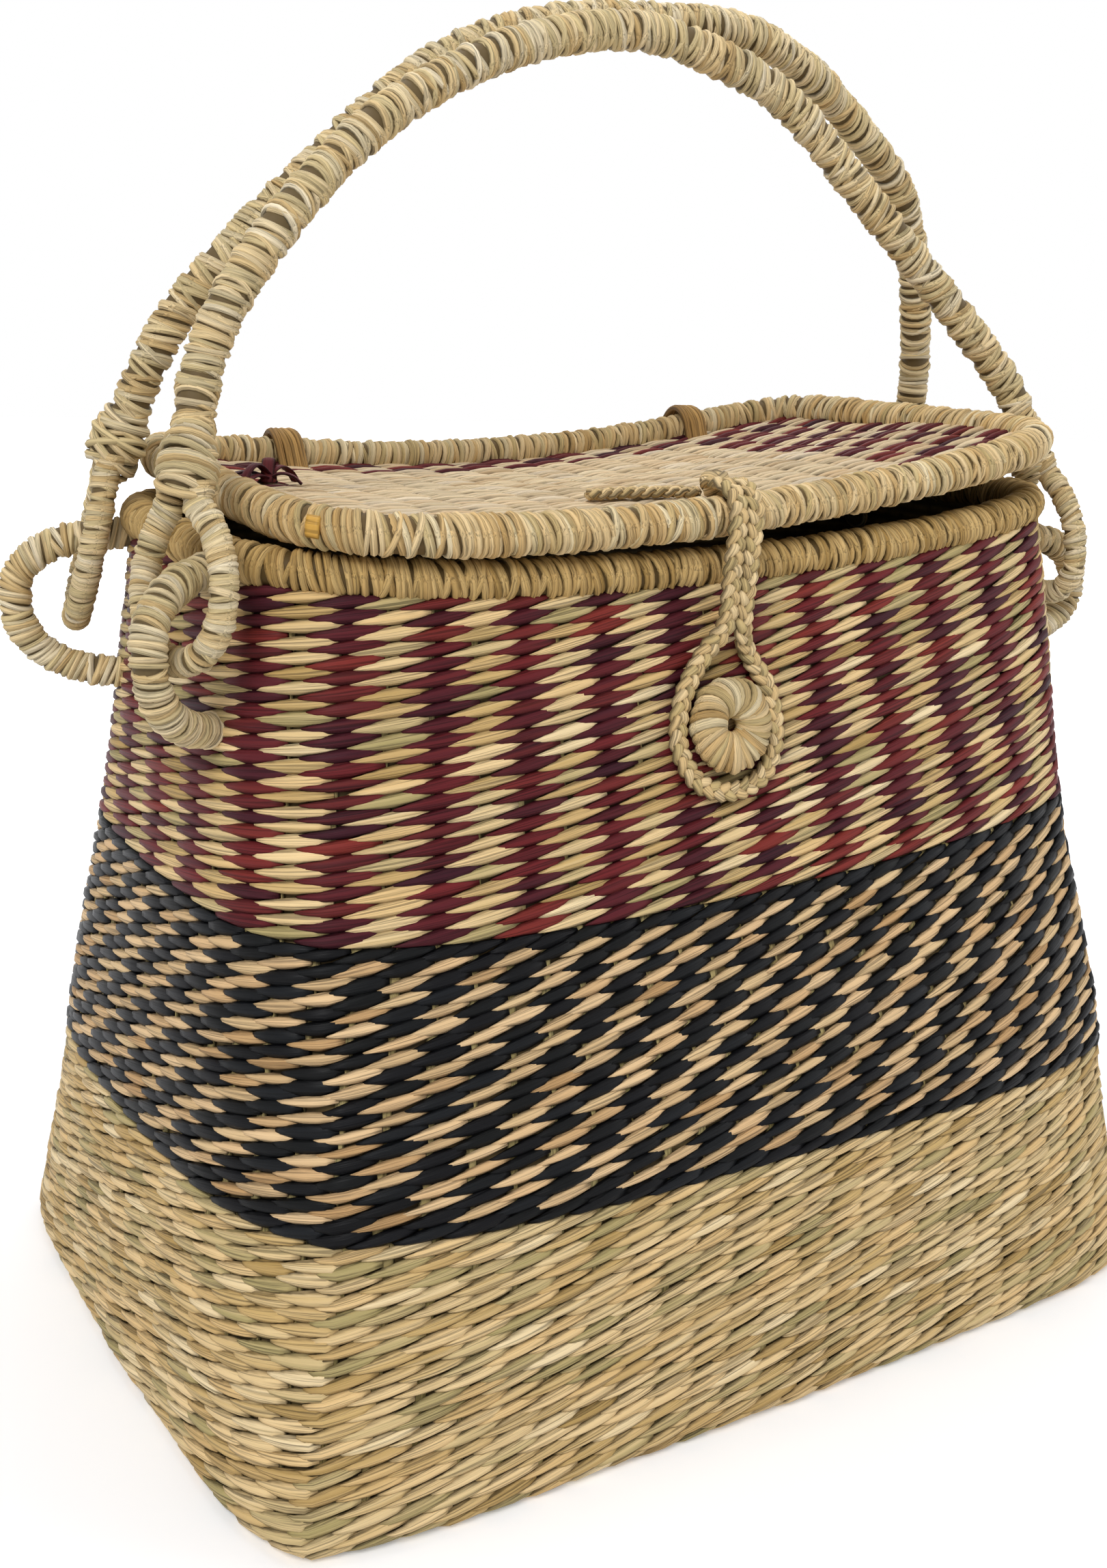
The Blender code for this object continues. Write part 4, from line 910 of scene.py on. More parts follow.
# %% Build the winding tree
winding_tree, given = new_tree("wound_strand", {
    "Winding Pitch": 0.0019, "Strand Width": 0.0027, "Strand Depth Share": 0.18, "Slant": 0.26,
    "Wildness": 0.15, "Crossing Share": 0.22, "Sleeve Share": 0.80})
add_input(winding_tree, "NodeSocketMaterial", "Straw")
t = winding_tree
path = add_node(t, "GeometryNodeMeshToCurve", {"Mesh": given["Geometry"]})
girth = add_node(t, "GeometryNodeInputNamedAttribute", {"Name": "girth"}, data_type="FLOAT")
steps = add_node(t, "GeometryNodeCurveToPoints", {"Curve": path.outputs[0],
                                                  "Length": given["Winding Pitch"]}, mode="LENGTH")
middle = add_node(t, "ShaderNodeMath", {0: 1.0, 1: given["Strand Depth Share"]}, operation="SUBTRACT")
turn = add_node(t, "GeometryNodeCurvePrimitiveCircle", {"Resolution": 16, "Radius": middle.outputs[0]})
around = add_node(t, "GeometryNodeSplineParameter")
around_mm = add_node(t, "ShaderNodeMath", {0: around.outputs["Factor"], 1: 46.0}, operation="MULTIPLY")
turn_marked = add_node(t, "GeometryNodeStoreNamedAttribute", {
    "Geometry": turn.outputs[0], "Name": "along", "Value": around_mm.outputs[0]}, domain="POINT")
strand_section = add_node(t, "GeometryNodeCurvePrimitiveCircle", {
    "Resolution": 6, "Radius": given["Strand Depth Share"]})
section_mm = add_node(t, "ShaderNodeMath", {0: around.outputs["Factor"], 1: 10.0}, operation="MULTIPLY")
section_marked = add_node(t, "GeometryNodeStoreNamedAttribute", {
    "Geometry": strand_section.outputs[0], "Name": "across", "Value": section_mm.outputs[0]},
    domain="POINT")
turn_mesh = add_node(t, "GeometryNodeCurveToMesh", {"Curve": turn_marked.outputs[0],
                                                    "Profile Curve": section_marked.outputs[0]})
# painted shade: "crown" is how far a turn's surface faces away from the core, and the colour is darkened on its
# sides
facing = add_node(t, "GeometryNodeInputNormal")
turn_place = add_node(t, "GeometryNodeInputPosition")
turn_out = add_node(t, "ShaderNodeVectorMath", {0: turn_place.outputs[0]}, operation="NORMALIZE")
turn_crown = add_node(t, "ShaderNodeVectorMath", {0: facing.outputs[0], 1: turn_out.outputs[0]},
                      operation="DOT_PRODUCT")
turn_crowned = add_node(t, "GeometryNodeStoreNamedAttribute", {
    "Geometry": turn_mesh.outputs[0], "Name": "crown", "Value": turn_crown.outputs["Value"]},
    domain="POINT")
chance = add_node(t, "FunctionNodeRandomValue", {2: 0.0, 3: 1.0, "Seed": given["Seed"]}, data_type="FLOAT")
tinted = add_node(t, "GeometryNodeStoreNamedAttribute", {
    "Geometry": steps.outputs["Points"], "Name": "tint", "Value": chance.outputs[1]}, domain="POINT")
tip_seed = add_node(t, "ShaderNodeMath", {0: given["Seed"], 1: 5}, operation="ADD")
tip = add_node(t, "FunctionNodeRandomValue", {0: (-1, -1, -3.14), 1: (1, 1, 3.14),
                                              "Seed": tip_seed.outputs[0]}, data_type="FLOAT_VECTOR")
wild = add_node(t, "ShaderNodeCombineXYZ", {"X": given["Wildness"], "Y": given["Wildness"], "Z": 0.0})
tip_scaled = add_node(t, "ShaderNodeVectorMath", {0: tip.outputs[0], 1: wild.outputs[0]},
                      operation="MULTIPLY")
# now and then a turn leans the other way and crosses its neighbours
cross_seed = add_node(t, "ShaderNodeMath", {0: given["Seed"], 1: 23}, operation="ADD")
cross_chance = add_node(t, "FunctionNodeRandomValue", {2: 0.0, 3: 1.0, "Seed": cross_seed.outputs[0]},
                        data_type="FLOAT")
crosses = add_node(t, "ShaderNodeMath", {0: cross_chance.outputs[1], 1: given["Crossing Share"]},
                   operation="LESS_THAN")
way = add_node(t, "ShaderNodeMath", {0: crosses.outputs[0], 1: -1.7, 2: 1.0}, operation="MULTIPLY_ADD")
own_slant = add_node(t, "ShaderNodeMath", {0: given["Slant"], 1: way.outputs[0]}, operation="MULTIPLY")
lean = add_node(t, "ShaderNodeCombineXYZ", {"X": own_slant.outputs[0]})
tipped = add_node(t, "ShaderNodeVectorMath", {0: tip_scaled.outputs[0], 1: lean.outputs[0]},
                  operation="ADD")
tip_rotation = add_node(t, "FunctionNodeEulerToRotation", {0: tipped.outputs[0]})
turned = add_node(t, "FunctionNodeRotateRotation", {0: steps.outputs["Rotation"],
                                                    1: tip_rotation.outputs[0]}, rotation_space="LOCAL")
swell_seed = add_node(t, "ShaderNodeMath", {0: given["Seed"], 1: 11}, operation="ADD")
swell = add_node(t, "FunctionNodeRandomValue", {2: 0.90, 3: 1.03, "Seed": swell_seed.outputs[0]},
                 data_type="FLOAT")
wide_seed = add_node(t, "ShaderNodeMath", {0: given["Seed"], 1: 17}, operation="ADD")
wide = add_node(t, "FunctionNodeRandomValue", {2: 0.75, 3: 1.2, "Seed": wide_seed.outputs[0]},
                data_type="FLOAT")
round_size = add_node(t, "ShaderNodeMath", {0: girth.outputs[0], 1: swell.outputs[1]}, operation="MULTIPLY")
section_size = add_node(t, "ShaderNodeMath", {0: given["Strand Width"], 1: given["Strand Depth Share"]},
                        operation="DIVIDE")
half_size = add_node(t, "ShaderNodeMath", {0: section_size.outputs[0], 1: 0.5}, operation="MULTIPLY")
wide_size = add_node(t, "ShaderNodeMath", {0: half_size.outputs[0], 1: wide.outputs[1]},
                     operation="MULTIPLY")
slant_cosine = add_node(t, "ShaderNodeMath", {0: own_slant.outputs[0]}, operation="COSINE")
long_size = add_node(t, "ShaderNodeMath", {0: round_size.outputs[0], 1: slant_cosine.outputs[0]},
                     operation="DIVIDE")
size = add_node(t, "ShaderNodeCombineXYZ", {"X": round_size.outputs[0], "Y": long_size.outputs[0],
                                            "Z": wide_size.outputs[0]})
turns = add_node(t, "GeometryNodeInstanceOnPoints", {
    "Points": tinted.outputs[0], "Instance": turn_crowned.outputs[0], "Rotation": turned.outputs[0],
    "Scale": size.outputs[0]})
sleeve_round = add_node(t, "GeometryNodeCurvePrimitiveCircle", {"Resolution": 12,
                                                                "Radius": given["Sleeve Share"]})
sleeve = add_node(t, "GeometryNodeCurveToMesh", {"Curve": path.outputs[0], "Scale": girth.outputs[0],
                                                 "Profile Curve": sleeve_round.outputs[0],
                                                 "Fill Caps": True})
joined = add_node(t, "GeometryNodeJoinGeometry")
t.links.new(sleeve.outputs[0], joined.inputs[0])
t.links.new(turns.outputs[0], joined.inputs[0])
real = add_node(t, "GeometryNodeRealizeInstances", {0: joined.outputs[0]})
along = add_node(t, "GeometryNodeInputNamedAttribute", {"Name": "along"}, data_type="FLOAT")
across = add_node(t, "GeometryNodeInputNamedAttribute", {"Name": "across"}, data_type="FLOAT")
own_tint = add_node(t, "GeometryNodeInputNamedAttribute", {"Name": "tint"}, data_type="FLOAT")
own_place = add_node(t, "ShaderNodeMath", {0: own_tint.outputs[0], 1: 997.0}, operation="MULTIPLY")
fibre = add_node(t, "ShaderNodeCombineXYZ", {"X": along.outputs[0], "Y": across.outputs[0],
                                             "Z": own_place.outputs[0]})
marked = add_node(t, "GeometryNodeStoreNamedAttribute", {
    "Geometry": real.outputs[0], "Name": "fibre", "Value": fibre.outputs[0]},
    data_type="FLOAT_VECTOR", domain="POINT")
finished = add_node(t, "GeometryNodeSetMaterial", {"Geometry": marked.outputs[0],
                                                   "Material": given["Straw"]})
add_node(t, "NodeGroupOutput", {0: finished.outputs[0]})
print("winding tree:", len(t.nodes), "nodes")


def wind(name, points, girths, closed, seed, finish=None, **sizes):
    """A wound piece along points; girths is one radius or one for each point."""
    mesh = bpy.data.meshes.new(name + "_path")
    edges = [(index, index + 1) for index in range(len(points) - 1)]
    if closed:
        edges.append((len(points) - 1, 0))
    mesh.from_pydata(points, edges, [])
    if not isinstance(girths, (list, tuple)):
        girths = [girths] * len(points)
    mesh.attributes.new("girth", "FLOAT", "POINT").data.foreach_set("value", girths)
    worker = bpy.data.objects.new(name + "_path", mesh)
    modifier = worker.modifiers.new("wound_strand", "NODES")
    modifier.node_group = winding_tree
    values = {"Seed": seed, "Straw": finish or wound_straw,
              **{key.replace("_", " ").title(): value for key, value in sizes.items()}}
    for key, value in values.items():
        modifier[socket_id(winding_tree, key)] = value
    return settle(worker, name)


# %% [markdown]
# ## The two rims
# The lid's roll and the body's roll lie on each other like two bolsters, each about 15 mm thick.
# The turns lean about ten degrees and open a little on the outside of the corners.

# %% Wind the rims
ROLL_STEPS = 160
rim_path = [ring_point(RIM, angle) for angle in even_ring(lambda turn: ring_point(RIM, turn), ROLL_STEPS)[:-1]]
lid_path = [ring_point(LID, angle) for angle in even_ring(lambda turn: ring_point(LID, turn), ROLL_STEPS)[:-1]]
dress(wind("body_rim_winding", rim_path, ROLL_RADIUS, True, 21, shaded_rim_straw), "basket", "natural_straw",
      "body_rim_wrapping")
dress(wind("lid_rim_winding", lid_path, ROLL_RADIUS, True, 22), "lid", "natural_straw",
      "lid_rim_wrapping")

# %% [markdown]
# ## Handles, collars, eyes and ears
# Each handle is a wound arch that ends in a lashed collar and a wound loop, the eye, which hangs
# on a wound loop of the body, the ear. All four ends were bent by hand and differ a little, so
# each keeps its own numbers.

# %% Define the paths of the handles
PIVOT_HEIGHT = 0.3030
PIVOT_SETBACK = 0.052
HANDLE_TOP_SETBACK = 0.0065
HANDLE_HALF_SPAN = 0.190
HANDLE_HEIGHTS = {"front": 0.1895, "back": 0.1970}
HANDLE_RADIUS = 0.0072
COLLAR_LENGTH = 0.020
EYE_RADIUS = 0.0050
EAR_RADIUS = 0.0062
ARCH_SHARES = {
    "front": [(-0.980, 0.235), (-0.955, 0.335), (-0.888, 0.462), (-0.736, 0.642), (-0.543, 0.806),
              (-0.285, 0.939), (-0.020, 0.999), (0.190, 0.965), (0.345, 0.900), (0.506, 0.754),
              (0.655, 0.612), (0.795, 0.476), (0.915, 0.346), (0.948, 0.262)],
    "back": [(-0.940, 0.235), (-0.905, 0.330), (-0.835, 0.445), (-0.630, 0.665), (-0.394, 0.870),
             (-0.170, 0.960), (0.060, 0.992), (0.280, 1.000), (0.465, 0.950), (0.643, 0.853),
             (0.800, 0.745), (0.900, 0.600), (0.965, 0.445), (1.000, 0.330), (1.016, 0.235)],
}
# for each end: eye offset, spread and drop; ear yaw, reach, and top, middle and foot heights
ENDS = {
    "front_left": (0.1940, 0.0310, 0.0258, 32, 0.0365, 0.3045, 0.2830, 0.2525),
    "front_right": (0.1900, 0.0325, 0.0210, 0, 0.0360, 0.3060, 0.2860, 0.2640),
    "back_left": (0.1900, 0.0300, 0.0300, 18, 0.0406, 0.3050, 0.2820, 0.2540),
    "back_right": (0.1965, 0.0300, 0.0270, 18, 0.0400, 0.3050, 0.2840, 0.2550),
}


def smooth_path(knots, steps):
    """Evenly counted points on a smooth curve through the knots."""
    knots = [Vector(knot) for knot in knots]
    ends = [2 * knots[0] - knots[1]] + knots + [2 * knots[-1] - knots[-2]]
    points = []
    for step in range(steps + 1):
        place = step / steps * (len(knots) - 1)
        index = min(int(place), len(knots) - 2)
        t = place - index
        a, b, c, d = ends[index:index + 4]
        points.append(0.5 * (2 * b + (c - a) * t + (2 * a - 5 * b + 4 * c - d) * t ** 2
                             + (3 * b - a - 3 * c + d) * t ** 3))
    return points


def signs_of(end):
    return (-1 if end.endswith("left") else 1), (-1 if end.startswith("front") else 1)


def crossing(end):
    across_sign, depth_sign = signs_of(end)
    return Vector((across_sign * ENDS[end][0], depth_sign * PIVOT_SETBACK, PIVOT_HEIGHT))


def outward(end):
    across_sign, depth_sign = signs_of(end)
    yaw = math.radians(ENDS[end][3])
    return Vector((across_sign * math.cos(yaw), depth_sign * math.sin(yaw), 0))


def arch_knots(half):
    """The arch in the plane in which the handle leans in, so that the two tops meet."""
    depth_sign, height = (-1 if half == "front" else 1), HANDLE_HEIGHTS[half]
    lean = math.asin((PIVOT_SETBACK - HANDLE_TOP_SETBACK) / height)
    return [Vector((HANDLE_HALF_SPAN * x, depth_sign * (PIVOT_SETBACK - height * z * math.sin(lean)),
                    PIVOT_HEIGHT + height * z * math.cos(lean))) for x, z in ARCH_SHARES[half]]


def collar_ends(end):
    knots = arch_knots(end.split("_")[0])
    first, second = (knots[0], knots[1]) if end.endswith("left") else (knots[-1], knots[-2])
    along_collar = (first - second).normalized()
    return first, first + along_collar * COLLAR_LENGTH


def eye_path(end):
    """A long loop that hangs from the collar, through the crossing and round the ear."""
    top, root = collar_ends(end)
    spread, drop = ENDS[end][1:3]
    upward_eye = (root - crossing(end)).normalized()
    length = (root - crossing(end)).length + drop
    across_eye = upward_eye.cross(outward(end)).normalized()
    narrow = 0.0108 / spread
    half = [(narrow, 0.0), (narrow, 0.05), (0.70, 0.20), (0.96, 0.42), (1.0, 0.62), (0.84, 0.83),
            (0.45, 0.965)]
    shares = [(-x, z) for x, z in half] + [(0.0, 1.0)] + list(reversed(half))
    along_collar = (root - top).normalized()
    level = (across_eye - along_collar * across_eye.dot(along_collar)).normalized()
    knots = []
    for index, (x, z) in enumerate(shares):
        straight_leg = min(index, len(shares) - 1 - index) < 2
        across_way, down = (level, along_collar) if straight_leg else (across_eye, -upward_eye)
        knots.append(root + across_way * (spread / 2 * x) + down * (length * z))
    return [knots[0] - along_collar * 0.004, *smooth_path(knots[1:-1], 48), knots[-1] - along_collar * 0.004]


def ear_path(end):
    """A D-shaped loop whose ends run into the wall."""
    across_sign, _ = signs_of(end)
    height, away = PIVOT_HEIGHT - EAR_RADIUS, outward(end)
    reach_in = 0.0
    for _ in range(30):
        at = crossing(end) - away * reach_in
        y_share = (at.y - wall_size(height, 6)) / (wall_size(height, 2) / 2)
        power = wall_size(height, 3) if across_sign < 0 else wall_size(height, 4)
        face = (wall_size(height, 5)
                + across_sign * wall_size(height, 1) / 2 * (1 - abs(y_share) ** power) ** (1 / power))
        reach_in += (at.x - face) * across_sign
    reach, top, middle, foot = ENDS[end][4:]
    points = []
    for step in range(37):
        turn = math.pi / 2 - math.pi * step / 36
        rise = ((top if turn > 0 else foot) - middle) * abs(math.sin(turn)) ** (2 / 2.3)
        points.append(Vector((at.x, at.y, middle + rise)) + away * (reach * abs(math.cos(turn)) ** (2 / 2.3)))
    return [points[0] - away * 0.008, *points, points[-1] - away * 0.008]


print("arch knots:", len(arch_knots("front")), "and", len(arch_knots("back")))

# %% Wind the handles, collars, eyes and ears
for number, half in enumerate(("front", "back")):
    body = half + "_handle"
    arch = smooth_path(arch_knots(half), 90)
    dress(wind(body + "_winding", arch, HANDLE_RADIUS, False, 31 + number, handle_straw,
               slant=0.32, crossing_share=0.36),
          body, "natural_straw", body + "_wrapping")
    for index, end in enumerate(name for name in ENDS if name.startswith(half)):
        top, root = collar_ends(end)
        collar_girths = [0.0074, 0.0084, 0.0096, 0.0104, 0.0106, 0.0098, 0.0078]
        collar_points = [top.lerp(root, -0.02 + 1.04 * step / 6) for step in range(7)]
        dress(wind(end + "_collar_lashing", collar_points, collar_girths, False, 41 + 2 * number + index,
                   handle_straw, winding_pitch=0.0011, strand_width=0.0029,
                   strand_depth_share=0.15, slant=0.36, wildness=0.22, crossing_share=0.40),
              body, "natural_straw", end + "_collar")
        dress(wind(end + "_eye_winding", eye_path(end), EYE_RADIUS, False, 51 + 2 * number + index,
                   handle_straw, winding_pitch=0.0016, strand_width=0.0027, strand_depth_share=0.20),
              body, "natural_straw", end + "_eye")
        dress(wind(end + "_ear_winding", ear_path(end), EAR_RADIUS, False, 61 + 2 * number + index,
                   handle_straw, strand_depth_share=0.20), "basket", "natural_straw", end + "_ear")

# %% [markdown]
# ## Button and closing loop
# The button is a ring wound until its middle almost closes, sewn flat to the wall. The loop is a
# doubled cord of three-strand plait: two plaits lie side by side over the lid's front roll, part
# below it and go round the button. Three strands that follow a slow wave sideways and a quick
# one in and out, each a third of a turn apart, make a plait along any path.

# %% Find the wall's face behind the button
BUTTON_X = -0.0135
BUTTON_HEIGHT = 0.2500
BUTTON_OUTER = 0.0175
BUTTON_HOLE = 0.0024
BUTTON_THICKNESS = 0.0120


def wall_face(height, x):
    """The front face of the wall at a height and x, and its outward direction."""
    level = height
    for _ in range(8):
        x_share = (x - wall_size(level, 5)) / (wall_size(level, 1) / 2)
        power = wall_size(level, 3) if x_share < 0 else wall_size(level, 4)
        angle = math.atan2(-(1 - abs(x_share) ** power) ** (1 / power), x_share)
        here = wall_point(level, angle)
        level += height - here.z
    rise = wall_point(level + WALL_THICKNESS, angle) - wall_point(level - WALL_THICKNESS, angle)
    return here, Vector((1, 0, 0)).cross(rise).normalized()


button_seat, button_out = wall_face(BUTTON_HEIGHT, BUTTON_X)
print("the button looks along", [round(value, 2) for value in button_out])

# %% Wind the button
button_across = (Vector((1, 0, 0)) - button_out * button_out.x).normalized()
button_frame = Matrix((button_across, button_out.cross(button_across), button_out)).transposed().to_4x4()
button_tube = (BUTTON_OUTER - BUTTON_HOLE) / 2
button_ring = [Vector((math.cos(2 * math.pi * step / 48), math.sin(2 * math.pi * step / 48), 0))
               * (BUTTON_HOLE + button_tube) for step in range(48)]
button = wind("button_winding", button_ring, button_tube, True, 71, winding_pitch=0.0023,
              strand_width=0.0040, strand_depth_share=0.18, slant=0.36, wildness=0.07,
              crossing_share=0.0)
flatten = Matrix.Diagonal((1, 1, BUTTON_THICKNESS / 2 / button_tube, 1))
button.data.transform(Matrix.Translation(button_seat + button_out * (BUTTON_THICKNESS / 2))
                      @ button_frame @ flatten)
dress(button, "basket", "natural_straw", "button", "button_stitch")

# %% Define the plait
def even_points(points, spacing):
    """Points at even spacing along a path."""
    even, carried = [points[0].copy()], 0.0
    for before, after in zip(points, points[1:]):
        length = (after - before).length
        place = spacing - carried
        while place < length:
            even.append(before.lerp(after, place / length))
            place += spacing
        carried = length - place + spacing
    return even


def plait(points, out_of, period, reach, weave_depth, half_wide, half_deep, tints):
    """Three crossing strands along evenly spaced points; out_of gives the outward direction."""
    spacing = (points[1] - points[0]).length
    strands = []
    for number in range(3):
        places, sideways = [], []
        for index, point in enumerate(points):
            along_path = (points[min(index + 1, len(points) - 1)] - points[max(index - 1, 0)]).normalized()
            out = out_of(point)
            out = (out - along_path * out.dot(along_path)).normalized()
            side_way = along_path.cross(out)
            phase = 2 * math.pi * (index * spacing / period + number / 3)
            places.append(point + side_way * (reach * math.sin(phase))
                          + out * (weave_depth * math.sin(2 * phase)))
            sideways.append(side_way)
        strands.append(strand(places, lambda index: sideways[index], half_wide, half_deep, tints[number]))
    return strands


print("a plait has", 3, "strands")

# %% Plait the closing loop
CLOSURE_AXIS = Vector((-0.009, -0.0850, 0.3224))
PLAIT_RADIUS = 0.0031
PLAIT_SPREAD = 0.0072
LOOP_HALF_WIDTH = 0.0214
LOOP_SPLIT_RISE = 0.0360
CORD_LIFT = 0.0008


def cord_y(height):
    face, out = wall_face(height, BUTTON_X)
    return (face + out * (PLAIT_RADIUS + CORD_LIFT)).y


def closure_route():
    """Down over the lid's roll, round the button and up again."""
    radius = ROLL_RADIUS + 0.0005 + PLAIT_RADIUS
    front = CLOSURE_AXIS.y - radius
    half = []
    for degrees in (100, 75, 50, 25, 0):
        turn = math.radians(degrees)
        half.append((PLAIT_SPREAD / 2, CLOSURE_AXIS.y - radius * math.cos(turn),
                     CLOSURE_AXIS.z + radius * math.sin(turn)))
    split = BUTTON_HEIGHT + LOOP_SPLIT_RISE
    half.append((PLAIT_SPREAD / 2, front, (CLOSURE_AXIS.z + split) / 2))
    half.append((PLAIT_SPREAD / 2 + 0.0003, min(front, cord_y(split)), split))
    bottom = BUTTON_OUTER + 0.0015 + PLAIT_RADIUS
    for width_share, rise in ((0.45, 0.7 * LOOP_SPLIT_RISE), (0.86, 0.35 * LOOP_SPLIT_RISE),
                              (1.0, 0.0), (0.92, -0.45 * bottom), (0.60, -0.84 * bottom)):
        half.append((width_share * LOOP_HALF_WIDTH, cord_y(BUTTON_HEIGHT + rise), BUTTON_HEIGHT + rise))
    drop = CLOSURE_AXIS.z - BUTTON_HEIGHT

    def place(sign, point):
        drift = (BUTTON_X - CLOSURE_AXIS.x) * min(1.0, max(0.0, (CLOSURE_AXIS.z - point[2]) / drop))
        return (CLOSURE_AXIS.x + drift + sign * point[0], point[1], point[2])

    route = [place(-1, point) for point in half]
    route.append((BUTTON_X, cord_y(BUTTON_HEIGHT - bottom), BUTTON_HEIGHT - bottom))
    route += [place(1, point) for point in reversed(half)]
    return smooth_path(route, 12 * (len(route) - 1))


def out_at(point):
    if point.z > CLOSURE_AXIS.z - 0.010:
        away = point - CLOSURE_AXIS
        return Vector((0, away.y, max(away.z, -0.002)))
    return button_out


loop_route = even_points(closure_route(), 0.0011)
loop = join_meshes("closure_plait", plait(loop_route, out_at, 0.0140, 0.0020, 0.0010, 0.0020, 0.0013,
                                          (0.35, 0.6, 0.8)), wound_straw)
dress(loop, "closure", "natural_straw", "closure_cord")

# %% Plait the tail and tie its knot
TAIL_RADIUS = 0.0026
KNOT_RADIUS = 0.0058


def panel_top(x, y):
    return (LID["height"] + sway(LID, (x - LID["shift"][0]) / (LID["width"] / 2),
                                 (y - LID["shift"][1]) / (LID["depth"] / 2)) + 0.002)


tail_knots = [(-0.0075, -0.0655), (-0.0125, -0.0600), (-0.0190, -0.0560),
              (-0.0265, -0.0530), (-0.0350, -0.0510), (-0.0440, -0.0500)]
tail_points = smooth_path([(x, y, panel_top(x, y) + TAIL_RADIUS + 0.0005) for x, y in tail_knots], 80)
tail_points = even_points(tail_points, 0.0010)
tail = join_meshes("tail_plait", plait(tail_points, lambda point: Vector((0, 0, 1)), 0.0130, 0.0019,
                                       0.0010, 0.0019, 0.0013, (0.3, 0.5, 0.7)), wound_straw)
dress(tail, "lid", "natural_straw", "closure_tail")
knot_away = (tail_points[0] - tail_points[1]).normalized()
knot_place = tail_points[0] + knot_away * (KNOT_RADIUS + 0.0003)
knot_place.z = panel_top(knot_place.x, knot_place.y) + KNOT_RADIUS + 0.0005
# an overhand knot: one strand that winds twice round a small ring
knot_turns = []
for step in range(73):
    turn = 2 * math.pi * step / 72
    ring_radius = 0.0030 + 0.0011 * math.cos(3 * turn)
    knot_turns.append(knot_place + Vector((ring_radius * math.cos(2 * turn), ring_radius * math.sin(2 * turn),
                                           0.0024 * math.sin(3 * turn))))
knot_parts = [strand(knot_turns, lambda index: Vector((0, 0, 1)), 0.0024, 0.0019, 0.45)]
# the two plaits of the loop run on from the roll into the knot
for sign in (-1, 1):
    lead = smooth_path([Vector((CLOSURE_AXIS.x + sign * PLAIT_SPREAD / 2, -0.0838, 0.3334)),
                        Vector((CLOSURE_AXIS.x + sign * 0.0032, -0.0770, 0.3328)),
                        knot_place + Vector((sign * 0.0016, -0.0020, 0.0008))], 30)
    knot_parts += plait(even_points(lead, 0.0010), lambda point: Vector((0, 0, 1)), 0.0125, 0.0016,
                        0.0009, 0.0017, 0.0012, (0.4, 0.6, 0.75))
knot = join_meshes("tail_knot", knot_parts, wound_straw)
dress(knot, "lid", "natural_straw", "closure_knot")

# %% [markdown]
# ## Hinge ties
# Two lengths of browner twisted straw are wound several times round both back rolls and hinge
# the lid. Each turn is a racetrack that goes over the lid's roll and under the body's.

# %% Wind the hinge ties
brown_cord = straw_finish("brown_twisted_straw", ["#8a6636", "#a98248", "#bd9558", "#96723e"], 0.55, 0.6, 0.7)
TIE_RADIUS = ROLL_RADIUS + 0.0005 + 0.0019


def roll_centre_at(ring, x):
    """The centre of a roll where its back passes x."""
    near, far = math.pi / 2, math.pi if x < ring_point(ring, math.pi / 2).x else 0.0
    for _ in range(40):
        half_way = (near + far) / 2
        if (ring_point(ring, half_way).x - x) * (ring_point(ring, far).x - x) > 0:
            far = half_way
        else:
            near = half_way
    return ring_point(ring, near)


for name, x in (("left_hinge_tie", -0.100), ("right_hinge_tie", 0.100)):
    over, under = roll_centre_at(LID, x), roll_centre_at(RIM, x)
    lean = math.atan2(over.z - under.z, over.y - under.y)
    parts = []
    for number in range(4):
        shift = (number - 1.5) * 0.0026
        loop_points = []
        for centre, start in ((over, lean - math.pi / 2), (under, lean + math.pi / 2)):
            for step in range(15):
                turn = start + math.pi * step / 14
                wobble = shift + 0.0007 * math.sin(2 * turn + number)
                loop_points.append(Vector((x + wobble, centre.y + TIE_RADIUS * math.cos(turn),
                                           centre.z + TIE_RADIUS * math.sin(turn))))
        loop_points.append(loop_points[0].copy())
        parts.append(strand(loop_points, lambda index: Vector((1, 0, 0)), 0.0017, 0.0014,
                            0.2 + 0.2 * number))
    # the tie ends in a small flat knot at the back of the rolls, with two short ends
    back = Vector((x, max(over.y, under.y) + TIE_RADIUS + 0.0008, (over.z + under.z) / 2))
    bend = [back + Vector((0.0038 * math.cos(turn), 0.0006 * math.sin(2 * turn), 0.0034 * math.sin(turn)))
            for turn in [2 * math.pi * step / 24 for step in range(25)]]
    parts.append(strand(bend, lambda index: Vector((0, 1, 0)), 0.0013, 0.0015, 0.5))
    for sign in (-1, 1):
        end = smooth_path([back, back + Vector((sign * 0.0035, 0.0010, -0.0040)),
                           back + Vector((sign * 0.0050, 0.0006, -0.0085))], 8)
        parts.append(strand(end, lambda index: Vector((1, 0, 0)), 0.0013, 0.0006, 0.7))
    dress(join_meshes(name + "_turns", parts, brown_cord), "basket", "brown_cord", name)

# %% [markdown]
# ## What is left
# The canes inside the rolls show only at one worn place on the lid's front left, and a knot of
# maroon straw was left where the border of the lid begins. Both tell how the basket was made.

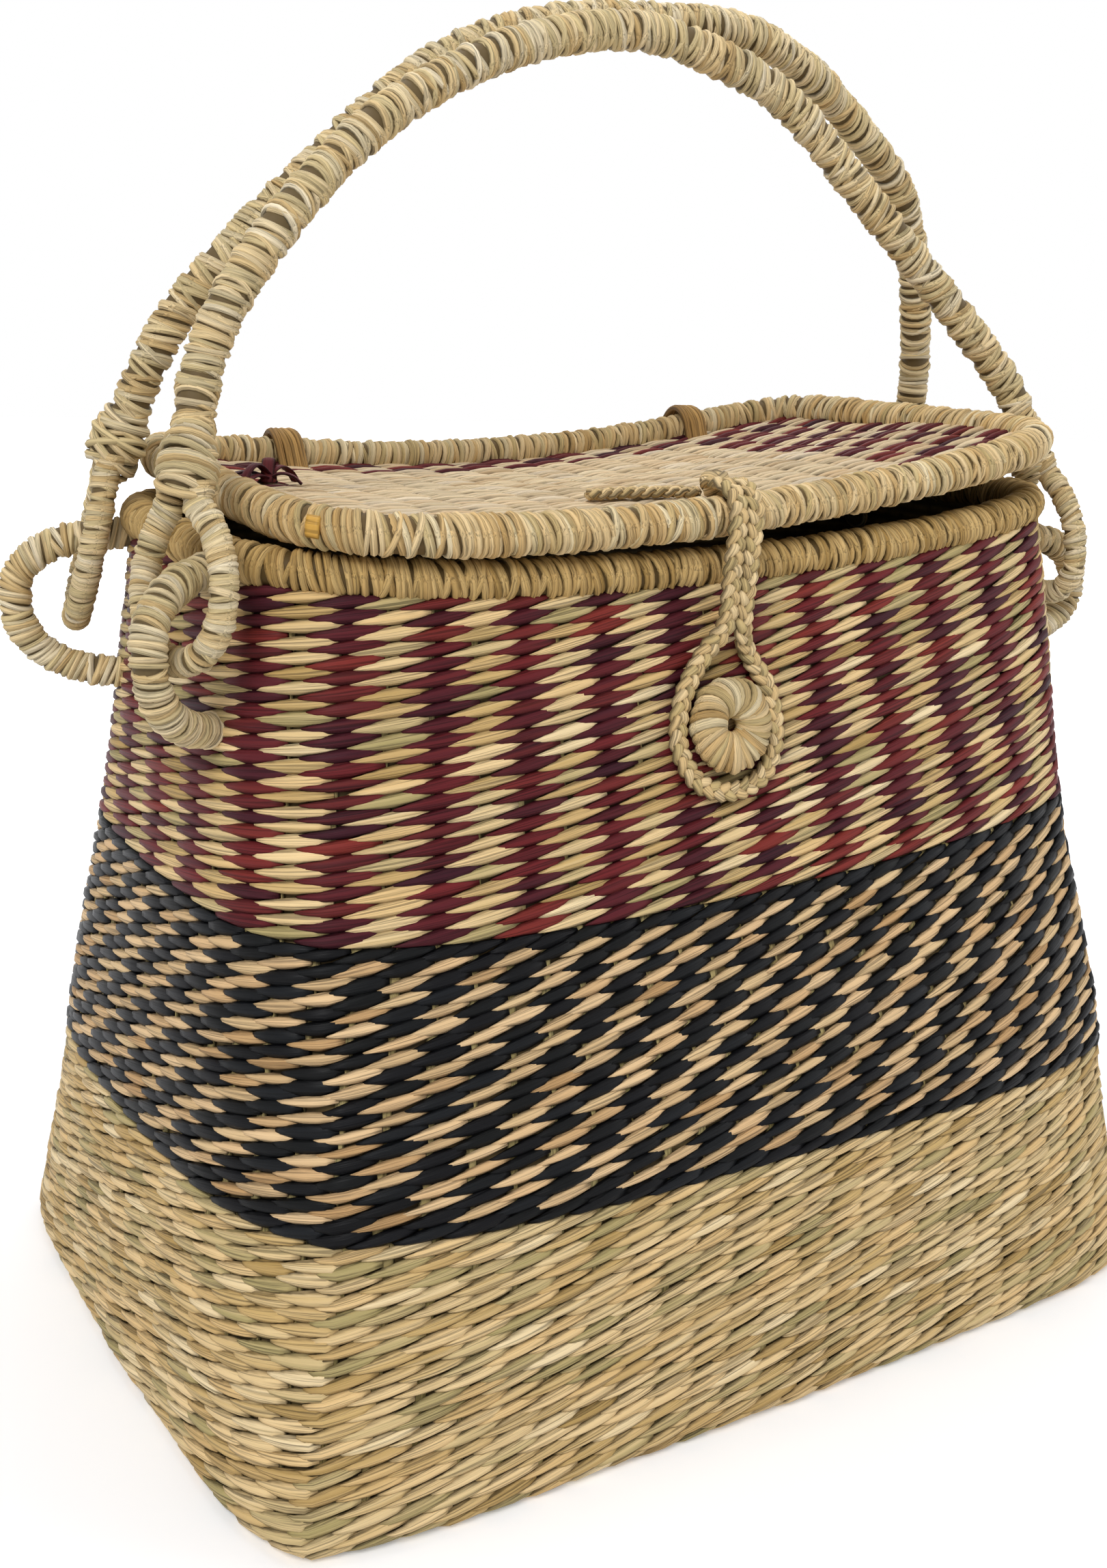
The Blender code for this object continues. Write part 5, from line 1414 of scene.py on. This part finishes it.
# %% Finish the canes
cane_finish = straw_finish("split_cane", ["#b98a3a", "#d0a04a", "#c3953f"], 0.4, 0.4, 0.4, 1.0)
for name in ("body_rim_core", "lid_rim_core", "front_handle_core", "back_handle_core"):
    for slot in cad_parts[name].material_slots:
        slot.material = cane_finish
print("cane pieces:", 4)

# %% Show the cane at the worn place
WORN_ANGLE = math.radians(220.5)
worn = [ring_point(LID, WORN_ANGLE + 0.006 * step) for step in (-2, -1, 0, 1, 2)]
worn_way = (worn[-1] - worn[0]).normalized()
worn_out = (worn_way.cross(Vector((0, 0, 1))) + Vector((0, 0, 0.12))).normalized()
if worn_out.dot(worn[2] - Vector((LID["shift"][0], LID["shift"][1], worn[2].z))) < 0:
    worn_out = -worn_out
patch_points = [worn[2] + worn_way * (0.0011 * step) + worn_out * 0.0066 for step in range(-2, 3)]
patch = join_meshes("worn_cane", [strand(patch_points, lambda index: Vector((0, 0, 1)), 0.0036, 0.0012, 0.5)],
                    cane_finish)
dress(patch, "lid", "cane_core")

# %% Tie the maroon tuft
tuft_at = Vector((-0.1370, 0.0170, 0))
tuft_share = (tuft_at.y - LID["shift"][1]) / (LID["depth"] / 2)
tuft_at.z = (LID["height"] + sway(LID, (tuft_at.x - LID["shift"][0]) / (LID["width"] / 2), tuft_share)
             + lid_lift(tuft_share) + 0.0022)
tuft_parts = []
for number, (degrees, reach, rise) in enumerate(
        ((172, 0.017, 0.0035), (200, 0.012, 0.0060), (25, 0.015, 0.0050), (-20, 0.012, 0.0030),
         (60, 0.009, 0.0075), (130, 0.010, 0.0055), (-150, 0.014, 0.0025))):
    way = Vector((math.cos(math.radians(degrees)), math.sin(math.radians(degrees)), 0))
    strip = smooth_path([tuft_at - way * 0.003, tuft_at + way * (0.35 * reach) + Vector((0, 0, rise)),
                         tuft_at + way * (0.75 * reach) + Vector((0, 0, 0.7 * rise)),
                         tuft_at + way * reach + Vector((0, 0, -0.0005))], 14)
    across_strip = way.cross(Vector((0, 0, 1)))
    tuft_parts.append(strand(strip, lambda index: across_strip, 0.0023, 0.0006, number / 6))
dress(join_meshes("maroon_tuft", tuft_parts, maroon_straw), "lid", "maroon_straw")
